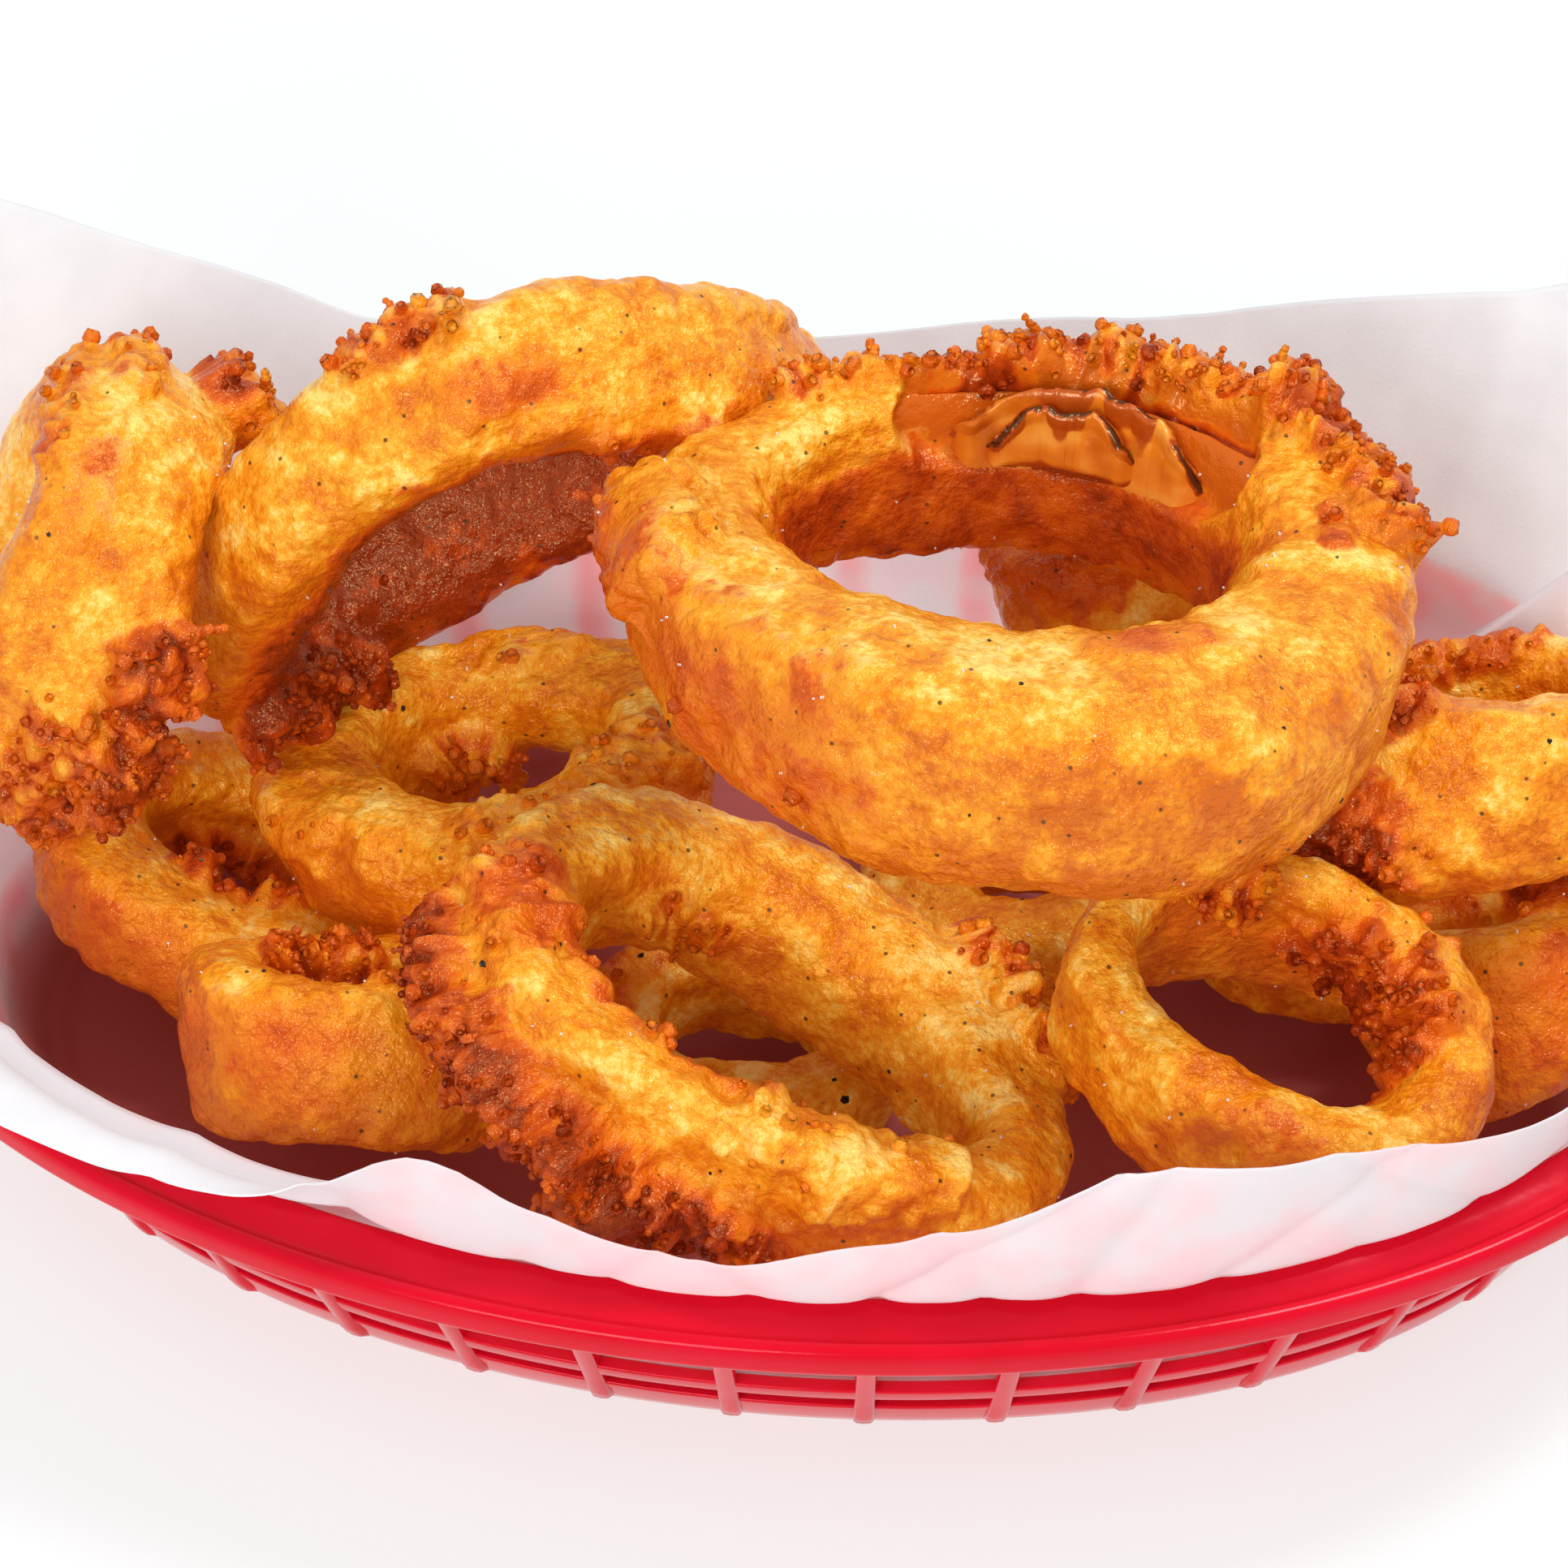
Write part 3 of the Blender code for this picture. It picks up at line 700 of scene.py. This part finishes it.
# Where the crust does something special. Start and end go round the hole in degrees, and side
# goes round the wall: 0 outside, 90 on top, 180 inside, 270 underneath. Reach is how far it
# spreads and stand how far it stands out, in millimetres. Brown is 0 for pale batter, 0.5 for
# orange-brown and 1 or more for a dark, brittle frill, or, on a thin crust, for painted shade.
CRUSTS = {
    "ring_left_leaning": ((305, 352, 70, 4, 1.2, 0.40), (330, 356, 20, 4, 1.2, 0.40),
        (346, 364, 325, 5, 3.6, 0.60), (205, 235, 350, 7, 1.8, 0.60),
        (222, 258, 312, 6, 2.2, 0.88), (285, 300, 30, 6, 0.5, 0.30)),
    "ring_back_arch": ((90, 102, 295, 5, 1.8, 0.40), (78, 90, 5, 4, 0.5, 0.50),
        # Painted shade: the two thin crusts all round the inside, brown above 1, paint the shade
        # under the arch.
        (190, 226, 112, 6, 3.0, 0.80), (0, 360, 180, 8, 0.3, 1.15),
        (0, 360, 140, 8, 0.3, 1.10), (40, 70, 75, 3, 1.0, 0.45), (20, 50, 300, 6, 0.8, 0.15)),
    "ring_top": ((92, 134, 66, 4, 1.8, 0.45), (40, 92, 52, 6, 2.2, 0.50),
        (6, 40, 56, 5, 2.2, 0.55), (357, 366, 92, 2.5, 1.0, 0.50),
        (178, 190, 50, 9, 4.5, 0.05), (290, 303, 100, 5, 0.6, 0.45),
        (215, 240, 20, 9, 0.8, 0.0), (178, 232, 355, 16, 0.0, 0.40),
        (10, 165, 190, 9, 0.3, 0.72)),
    "ring_front_leaning": ((196, 262, 320, 8, 3.6, 0.95), (255, 288, 325, 6, 3.0, 1.00),
        (185, 205, 80, 8, 1.0, 0.50), (112, 128, 176, 4, 2.6, 0.35),
        (36, 60, 30, 6, 3.4, 0.45), (285, 312, 100, 9, 2.6, 0.10),
        (210, 275, 130, 4, 1.0, 0.45)),
    "ring_front_right": ((35, 85, 165, 8, 1.4, 0.85), (128, 142, 120, 4, 2.6, 0.45),
        (0, 40, 190, 7, 0.6, 0.65), (272, 300, 60, 4, 0.8, 0.30)),
    "ring_middle_left": ((95, 120, 205, 6, 2.4, 0.60), (185, 200, 50, 7, 1.2, 0.15),
        (262, 285, 70, 7, 1.6, 0.20), (315, 330, 80, 8, 1.6, 0.25),
        (60, 80, 70, 6, 1.0, 0.25)),
    "ring_left_low": ((80, 125, 215, 5, 2.0, 0.95), (190, 205, 40, 7, 0.6, 0.40),
        # The last crust makes the outside darker over half the ring.
        (250, 300, 150, 5, 1.6, 0.70), (180, 360, 0, 9, 0.0, 0.34)),
    "ring_front_left": ((85, 140, 125, 4, 1.6, 0.70), (290, 320, 100, 5, 1.2, 0.50),
        (0, 360, 0, 10, 0.0, 0.30)),
    "ring_right_high": ((205, 240, 345, 9, 1.6, 0.95), (235, 255, 60, 5, 1.4, 0.60),
        (60, 120, 110, 4, 1.2, 0.45)),
    "ring_right_low": ((350, 380, 100, 7, 0.8, 0.75), (110, 135, 110, 6, 0.8, 0.45),
        # This crust makes the whole outside darker all round.
        (0, 360, 0, 12, 0.0, 0.42)),
    "ring_back_right": ((120, 240, 60, 6, 0.8, 0.55),),
    "ring_under_front": ((60, 200, 70, 5, 0.8, 0.45),),
    "ring_centre_low": ((0, 160, 80, 7, 0.6, 0.45),),
    "ring_right_back_low": ((90, 300, 80, 8, 0.6, 0.50),),
}
# The stretch of the top ring where the batter has come off and the onion shows.
BARE = Crust(44, 108, 136, 7.5, -2.4, 0)
SKIN = Crust(38, 112, 103, 1.6, -1.8, 1)


def ring_surface(ring, around, section):
    """A ring's plain surface: an oval middle line with a slow wander, and a soft square section
    |x|^2.5 + |y|^2.5 = 1 whose thickness, height and slant drift as it goes round. The batch
    number sets where each drift begins."""
    def drift(order, term):
        return np.cos(order * around + ring.batch * (1.3 + 0.7 * term) + term)

    half_length = 0.5 * (ring.length - ring.wall)
    half_width = 0.5 * (ring.width - ring.wall)
    swell = 1.0 + 0.035 * drift(2, 1) + 0.03 * drift(3, 2)
    thick = 0.5 * ring.wall * (1.0 - ring.heavy * np.sin(around) + 0.10 * drift(1, 3)
                               + 0.07 * drift(3, 4))
    tall = 0.5 * ring.height * (1.0 + ring.tall * np.sin(around) + 0.09 * drift(1, 5)
                                + 0.07 * drift(2, 6))
    slant = 0.14 * drift(2, 7)
    out = unit(np.stack([half_width * np.cos(around), half_length * np.sin(around)], axis=-1))
    across = thick * soft(np.cos(section), 2.0 / SECTION_POWER)
    up = tall * soft(np.sin(section), 2.0 / SECTION_POWER)
    away = across * np.cos(slant) + up * np.sin(slant)
    rise = up * np.cos(slant) - across * np.sin(slant) + ring.saddle * np.cos(2.0 * around)
    return np.stack([half_length * np.cos(around) * swell + out[..., 0] * away,
                     half_width * np.sin(around) * swell + out[..., 1] * away, rise], axis=-1)


def crust_share(ring, points, around, crust):
    """How much of a special crust each point has: one less its distance to the crust's own
    line on the ring over the crust's reach."""
    middle = 0.5 * (crust.start + crust.end)
    half = 0.5 * (crust.end - crust.start)
    turn = (np.degrees(around) - middle + 180.0) % 360.0 - 180.0
    nearest = np.radians(middle + np.clip(turn, -half, half))
    line = ring_surface(ring, nearest, np.full_like(nearest, math.radians(crust.side)))
    return 1.0 - np.linalg.norm(points - line, axis=-1) / crust.reach


def fried_crust(ring, around, section):
    """The plain surface pushed along its normals: broad lumps and blisters from layered noise,
    then each special crust. A brown crust is beads and ridges, and noise also drags its points
    sideways, so that it curls over itself."""
    plain = ring_surface(ring, around, section)
    normals = grid_normals(plain, True, True)
    outside = np.stack([np.cos(around), np.sin(around), np.zeros_like(around)], axis=-1)
    facing = np.sum(normals * outside, axis=-1, keepdims=True) * np.cos(section)[..., None]
    normals = normals * np.sign(np.mean(facing))
    seed = ring.batch * 40
    rough = layered_noise(plain, BLISTER, seed + 9, 3)
    fine = layered_noise(plain, WRINKLE, seed + 14, 2)
    ridges = 1.0 - 2.0 * np.abs(layered_noise(plain, RIDGE, seed + 20, 3))
    ragged = 0.35 * rough + 0.25 * fine
    brown, frill, bare = np.zeros((3, *around.shape))
    stand = 1.5 * layered_noise(plain, LUMP, seed + 1, 2) + 0.7 * rough + 0.28 * fine
    corner = np.abs(np.sin(2.0 * section)) ** 3
    stand += 0.6 * corner * ease(ridges, 0.0, 1.0)
    if ring.name == "ring_top":
        share = crust_share(ring, plain, around, BARE) + 0.4 * ragged
        bare = ease(share, 0.0, 0.18)
        stand = stand * (1.0 - 0.85 * bare) + BARE.stand * bare
        skin = ease(crust_share(ring, plain, around, SKIN) + ragged, 0.0, 0.5)
        stand += SKIN.stand * skin
        brown = np.maximum(brown, skin)
    for crust in map(Crust._make, CRUSTS[ring.name]):
        share = crust_share(ring, plain, around, crust) + ragged
        mask = ease(share, 0.0, 0.55)
        craggy = mask * min(1.0, 2.0 * crust.brown)
        stand += crust.stand * mask * (0.55 + 0.75 * ease(ridges, -0.2, 0.9) * craggy
                                       + 0.25 * (1.0 - craggy))
        brown = np.maximum(brown, crust.brown * ease(share, -0.25, 0.60))
        frill = np.maximum(frill, craggy * ease(crust.stand, 0.5, 2.0))
    lumps = beads(plain, BEAD, seed + 30)
    grit = beads(plain, GRIT, seed + 34)
    stand += frill * (1.9 * lumps - 0.8 + 0.8 * fine + 0.5 * grit)
    drag = np.stack([layered_noise(plain, DRAG, seed + 50 + 4 * axis, 2) for axis in range(3)],
                    axis=-1)
    points = plain + normals * stand[..., None] + drag * (1.6 * frill)[..., None]
    patches = layered_noise(plain, PATCH, seed + 70, 2)
    mottle = layered_noise(plain, MOTTLE, seed + 74, 3)
    # Painted light and shade: the tone is paler on raised blisters, ridges and bead tops and darker
    # between them; patches and mottle vary it at random.
    tone = (0.50 + 0.24 * patches + 0.42 * mottle + 0.30 * rough + 0.10 * (ridges - 0.5)
            + frill * (0.3 * lumps - 0.25))
    # Painted shade: in a frill the brown deepens in the hollows between the beads.
    spread = 0.45 * mottle + frill * (0.45 - 0.75 * lumps - 0.2 * grit)
    brown = np.clip(brown + spread * ease(brown, 0.0, 0.3), 0.0, 1.0)
    return points, brown, frill, bare, tone


def placed(ring, points):
    """Points turned about the ring's own hole, leant over, headed and set at its middle."""
    spin = np.array(Euler((0.0, 0.0, math.radians(ring.turn))).to_matrix())
    pose = np.array(Euler((0.0, math.radians(ring.lean), math.radians(ring.heading))).to_matrix())
    return points @ spin.T @ pose.T + np.array(ring.centre)


def fried_batter(name, specks):
    """Golden batter: cream, gold and orange in patches, with painted light and shade in its tone,
    darker where it is browned and where brown paints shade, with a finely pitted skin, specks of
    pepper and an oily shine. Bare patches are redder, smoother. It glows faintly in its own
    colour, a painted glow that lifts its shade."""
    finish = Finish(name)
    brown = finish.layer("brown")
    bare = finish.layer("bare")
    grain = finish.noise(1.1, 2.0, 0.6)
    # The tone layer carries painted light and shade: paler on top and on raised bumps, darker on
    # the sides, underneath and in hollows.
    tone = finish.layer("tone") + 0.85 * (grain - 0.5)
    golden = tone.colours((0.08, (0.58, 0.110, 0.003)), (0.30, (0.70, 0.180, 0.004)),
                          (0.48, (0.79, 0.260, 0.007)), (0.66, (0.86, 0.38, 0.024)),
                          (0.90, (0.93, 0.62, 0.15)))
    scorch = brown + 0.5 * (grain - 0.5)
    burnt = scorch.colours((0.15, (0.76, 0.17, 0.006)), (0.50, (0.64, 0.10, 0.004)),
                           (0.80, (0.44, 0.046, 0.003)), (1.0, (0.24, 0.020, 0.002)))
    share = scorch.between(0.12, 0.55)
    colour = finish.blend(share, golden, burnt)
    colour = finish.blend(bare * (1.0 - share), colour, (0.55, 0.10, 0.005))
    if specks:
        cells = finish.add("ShaderNodeTexVoronoi", {}, {"Vector": finish.place, "Scale": 420.0})
        chance = finish.add("ShaderNodeSeparateColor", {},
                            {0: Wire(finish, cells.socket.node.outputs["Color"])})
        speck = (1.0 - cells.between(0.08, 0.15)) * chance.between(0.60, 0.62)
        colour = finish.blend(speck * 0.85, colour, (0.035, 0.014, 0.006))
    height = 0.90 * finish.noise(1.6, 3.0, 0.62)
    return finish.set(Base_Color=colour, Roughness=0.22 - 0.05 * bare - 0.30 * (grain - 0.5),
                      Normal=finish.relief(height * (1.0 - 0.6 * bare)),
                      Specular_IOR_Level=0.65, Specular_Tint=(1.0, 0.76, 0.36),
                      # Painted glow: the batter gives off light in its own colour, which lifts its
                      # shade.
                      Emission_Color=colour, Emission_Strength=0.11)


batter = fried_batter("fried batter", True)
crusts = []
for ring in RINGS:
    around_count = int(math.pi * 0.5 * (ring.length + ring.width) / GRAIN)
    section_count = int(1.9 * (ring.wall + ring.height) / GRAIN)
    around, section = np.meshgrid(full_turn(around_count), full_turn(section_count),
                                  indexing="ij")
    points, brown, frill, bare, tone = fried_crust(ring, around, section)
    points = placed(ring, points)
    normals = grid_normals(points, True, True)
    outwards = np.sum(normals * (points - np.roll(points, section_count // 2, axis=1)))
    # Painted light: what faces upwards is painted a little paler than the sides and the underside.
    tone = tone + 0.28 * (np.sign(outwards) * normals[..., 2] - 0.65)
    crusts.append([layer.reshape(around.size, -1)
                   for layer in (points, normals * np.sign(outwards), brown, frill, tone)])
    solid = (points.reshape(-1, 3), [grid_faces(around_count, section_count)])
    layers = {"brown": brown, "bare": bare, "tone": tone}
    piece = add_piece("fried_" + ring.name, [solid], batter, layers=layers)
    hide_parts(ring.name)

# ------------------------ crumbs, pepper and salt
# Beads of batter that set on the frills, short sprays of them, flakes of black pepper and grains
# of salt. All of them are stuck in the oily crust.

CRUMBS = 1700
SPRAYS = 150
SPRAY_BEADS = 4
PEPPER_FLAKES = 90
SALT_GRAINS = 420
draw = np.random.default_rng(27)
spots, headings, browns, frills, tones = (np.concatenate(layer) for layer in zip(*crusts))


def pick(chances, count):
    """Indices of surface points, drawn with these chances."""
    share = np.cumsum(chances.ravel())
    return np.searchsorted(share, draw.random(count) * share[-1])


def small_balls(centres, sizes, sides, squash, spread):
    """Closed lumps: rings of points sqrt(1 - 0.95 h^2) wide at a few heights h along the axis,
    which is as long as squash, with each point moved by a random share of the size."""
    count = len(centres)
    levels = np.array([-0.8, -0.3, 0.3, 0.8]) if sides > 4 else np.array([-0.6, 0.6])
    widths = np.sqrt(1.0 - 0.95 * levels ** 2)
    turn = full_turn(sides)
    axis = unit(squash)
    first = unit(np.cross(axis, draw.normal(size=(count, 3))))
    second = np.cross(axis, first)
    flat = np.linalg.norm(squash, axis=1)[:, None, None, None]
    around = (first[:, None, None] * np.cos(turn)[:, None]
              + second[:, None, None] * np.sin(turn)[:, None]) * widths[:, None, None]
    lump = around + axis[:, None, None] * levels[:, None, None] * flat
    lump = lump * (1.0 + spread * draw.normal(size=(count, len(levels), sides, 1)))
    return closed_tubes(centres[:, None, None] + lump * sizes[:, None, None, None])


def beaded_crumbs():
    """Beads on the frills, and sprays: rows of ever smaller beads that step away from the
    surface and curl."""
    chance = frills[:, 0] ** 1.5 + 0.004 * ease(browns[:, 0], 0.2, 0.5)
    single = pick(chance, CRUMBS)
    size = 0.42 + 0.78 * draw.random(CRUMBS) ** 2
    centres = spots[single] + headings[single] * (size * 0.35)[:, None]
    start = pick(frills[:, 0] ** 3, SPRAYS)
    steps = np.arange(SPRAY_BEADS)
    lean = unit(headings[start] + 0.6 * draw.normal(size=(SPRAYS, 3)))
    curl = np.cumsum(0.22 * draw.normal(size=(SPRAYS, SPRAY_BEADS, 3)), axis=1)
    reach = (0.45 + 0.20 * draw.random((SPRAYS, 1))) * steps
    beads_out = spots[start][:, None] + lean[:, None] * reach[..., None] + curl
    sprayed = ((0.75 - 0.06 * steps) * (0.6 + 0.5 * draw.random((SPRAYS, 1)))).ravel()
    centres = np.concatenate([centres, beads_out.reshape(-1, 3)])
    source = np.concatenate([single, np.repeat(start, SPRAY_BEADS)])
    sizes = np.concatenate([size, sprayed])
    solid = small_balls(centres, sizes, 7, headings[source] * 0.95 + 1e-6, 0.06)
    per = len(solid[0]) // len(sizes)
    tint = np.repeat(0.10 * draw.normal(size=len(sizes)), per)
    layers = {"brown": np.clip(np.repeat(browns[source, 0], per) * 0.8 + 0.12 + tint, 0.2, 1.0),
              "bare": np.zeros(len(tint)), "tone": np.repeat(tones[source, 0], per) - 0.15 + tint}
    return add_piece("batter_crumbs", [solid], fried_batter("crisp crumbs", False), layers=layers)


def grains_finish(name, dark, light, roughness, spread, shine):
    """Hard little grains: fine noise mixes two colours and varies the roughness."""
    finish = Finish(name)
    cloud = finish.noise(0.3, 2.0)
    return finish.set(Base_Color=finish.blend(cloud.between(0.4, 0.6), dark, light),
                      Roughness=roughness + spread * cloud, Specular_IOR_Level=shine)


open_crust = 1.0 - ease(frills[:, 0], 0.1, 0.4)
crumbs = beaded_crumbs()
flakes = pick(open_crust, PEPPER_FLAKES)
pepper = add_piece("pepper_flakes", [small_balls(
    spots[flakes] + 0.05 * headings[flakes], 0.22 + 0.40 * draw.random(PEPPER_FLAKES) ** 2, 5,
    headings[flakes] * 0.35, 0.25)],
    grains_finish("cracked black pepper", (0.012, 0.009, 0.007), (0.06, 0.035, 0.018),
                  0.6, 0.2, 0.5))
grains = pick(open_crust, SALT_GRAINS)
salt_grains = add_piece("salt_grains", [small_balls(
    spots[grains] + 0.10 * headings[grains], 0.13 + 0.12 * draw.random(SALT_GRAINS), 4,
    headings[grains], 0.04)],
    grains_finish("table salt", (0.86, 0.80, 0.70), (0.95, 0.93, 0.90), 0.12, 0.15, 0.6))

# ------------------------ bare onion layers
# Two layers of the top ring's onion, where its batter has broken away at the back. They are
# glassy and amber from frying, and their upper edges carry a scorched papery skin.

ONION_THICKNESS = 1.5
ONION_COLUMNS = 200
ONION_ROWS = 44
OnionLayer = namedtuple("OnionLayer", "start end low high stand")
# Start, end and stand are as for a crust, and low and high are the sides it reaches between.
ONION_LAYERS = (OnionLayer(45, 108, 186, 108, -0.7), OnionLayer(62, 100, 172, 126, 0.9))


def onion_layer(ring, layer, seed):
    """One curved strip that follows the ring's wall. Its upper edge wanders by noise and flares
    outwards, fine veins run up it, and the ends sink into the batter."""
    round_share, up_share = np.meshgrid(np.linspace(0.0, 1.0, ONION_COLUMNS),
                                        np.linspace(0.0, 1.0, ONION_ROWS), indexing="ij")
    around = np.radians(layer.start + (layer.end - layer.start) * round_share)
    wander = soft_noise(np.stack([around * 14.0, around * 0.0, around * 0.0], axis=-1), 1.0, seed)
    arch = 1.0 - np.abs(2.0 * round_share - 1.0) ** 2.6
    high = layer.low + (layer.high - layer.low) * (0.30 + 0.70 * arch) + 5.0 * wander
    section = np.radians(layer.low + (high - layer.low) * up_share)
    plain = ring_surface(ring, around, section)
    normals = grid_normals(plain, False, False)
    inward = np.stack([-np.cos(around), -np.sin(around), 0.0 * around], axis=-1)
    normals *= np.sign(np.sum(normals * inward, axis=-1, keepdims=True).mean())
    ends = np.minimum(ease(round_share, 0.0, 0.10), 1.0 - ease(round_share, 0.93, 1.0))
    vein = soft_noise(np.stack([around * 45.0, section * 1.5, 0.0 * around], axis=-1), 1.0, seed)
    crease = layered_noise(plain, 7.0, seed + 3, 3)
    stand = (layer.stand + 0.07 * vein + 0.80 * crease + 1.2 * ease(up_share, 0.70, 1.0)
             - 2.6 * (1.0 - ends) - 1.6 * (1.0 - ease(up_share, 0.0, 0.25)))
    points = placed(ring, plain + normals * stand[..., None])
    edge = ease(up_share + 0.09 * crease + 0.03 * vein, 0.982, 1.001)
    skin = 0.50 * ease(up_share + 0.30 * crease + 0.30 * wander, 0.74, 0.94)
    tips = 1.0 - ease(round_share + 0.05 * crease, 0.0, 0.07) * (1.0 - ease(round_share, 0.94, 1.0))
    foot = 0.70 * (1.0 - ease(up_share + 0.35 * crease, 0.10, 0.40))
    scorch = np.maximum(np.maximum(edge, 0.55 * tips), np.maximum(skin, foot))
    normals = grid_normals(points, False, False)
    thickness = ONION_THICKNESS * (1.0 - 0.55 * edge[..., None])
    return two_sided(points, normals, thickness, False), np.tile(scorch.ravel(), 2)


def fried_onion():
    """Fried onion flesh: glassy amber with pale veins, brown at its foot and ends, and almost
    black along a papery upper edge."""
    finish = Finish("fried onion")
    cloud = finish.noise(6.0, 1.0, 0.5, 0.4)
    fleck = finish.noise(0.7, 2.0, 0.6)
    flesh = cloud.colours((0.32, (0.60, 0.13, 0.006)), (0.50, (0.80, 0.23, 0.013)),
                          (0.68, (0.92, 0.40, 0.055)))
    scorch = finish.layer("scorch") + 0.25 * (fleck - 0.5)
    burnt = scorch.colours((0.20, (0.62, 0.13, 0.006)), (0.60, (0.42, 0.055, 0.004)),
                           (0.95, (0.07, 0.014, 0.004)))
    colour = finish.blend(scorch.between(0.10, 0.45), flesh, burnt)
    return finish.set(Base_Color=colour, Roughness=0.12 + 0.25 * fleck,
                      Normal=finish.relief(0.30 * cloud + 0.05 * fleck), Specular_IOR_Level=0.8,
                      Specular_Tint=(1.0, 0.74, 0.42))


top_ring = next(ring for ring in RINGS if ring.name == "ring_top")
strips = [onion_layer(top_ring, layer, 60 + number) for number, layer in enumerate(ONION_LAYERS)]
onion = add_piece("bare_onion_layers", [strip[0] for strip in strips], fried_onion(),
                  layers={"scorch": np.concatenate([strip[1] for strip in strips])})

# ------------------------ table, light, camera
# A plain white table top under a white sky. One soft light hangs above, to the right and a
# little behind, and a wider one fills the front from the left.

CAMERA_PLACE = (0.0608, -0.4929, 0.5601)
CAMERA_TILT = 44.4
CAMERA_TURN = 7.1
FOCAL_LENGTH = 138.35
TABLE_HALF = 1500.0
TABLE_THICKNESS = 10.0
TABLE_GLOW = 0.61
SKY = 0.62

def plain_floor():
    """A plain slab whose top is at the basket's underside. It glows a little, so it stays white."""
    finish = Finish("white table top")
    finish.set(Base_Color=(0.35, 0.380, 0.380), Roughness=0.6, Emission_Color=(1.0, 1.0, 1.0),
               Emission_Strength=TABLE_GLOW, Specular_IOR_Level=0.2)
    edge = np.array([[-1, -1], [1, -1], [1, 1], [-1, 1]]) * TABLE_HALF
    points = np.concatenate([np.concatenate([edge, np.full((4, 1), height)], axis=1)
                             for height in (-TABLE_THICKNESS, 0.0)])
    faces = np.array([[3, 2, 1, 0], [4, 5, 6, 7], [0, 1, 5, 4], [1, 2, 6, 5], [2, 3, 7, 6],
                      [3, 0, 4, 7]])
    mesh = bpy.data.meshes.new("table_top")
    mesh.from_pydata((points * MM).tolist(), [], faces.tolist())
    mesh.materials.append(finish.material)
    new_object("table_top", mesh)


def soft_light(name, place, size, power):
    """A square light of this size in metres and power in watts, aimed at the food's foot."""
    lamp = bpy.data.lights.new(name, "AREA")
    lamp.size = size
    lamp.energy = power
    light = new_object(name, lamp)
    light.location = place
    aim = Vector((0.0, 0.0, 0.03)) - Vector(place)
    light.rotation_euler = aim.to_track_quat("-Z", "Y").to_euler()


plain_floor()
soft_light("soft light above", (0.30, 0.14, 0.90), 0.24, 4.0)
soft_light("fill from the front", (-0.20, -0.92, 0.62), 0.40, 5.3)
world = bpy.data.worlds.new("white surroundings")
world.use_nodes = True
background = world.node_tree.nodes["Background"].inputs
background["Color"].default_value = (1.0, 1.0, 1.0, 1.0)
background["Strength"].default_value = SKY
bpy.context.scene.world = world
bpy.context.scene.view_settings.view_transform = "Standard"

lens = bpy.data.cameras.new("camera")
lens.lens = FOCAL_LENGTH
lens.sensor_width = 36.0
camera = new_object("camera", lens)
camera.location = CAMERA_PLACE
camera.rotation_euler = (math.radians(CAMERA_TILT), 0.0, math.radians(CAMERA_TURN))
bpy.context.scene.camera = camera
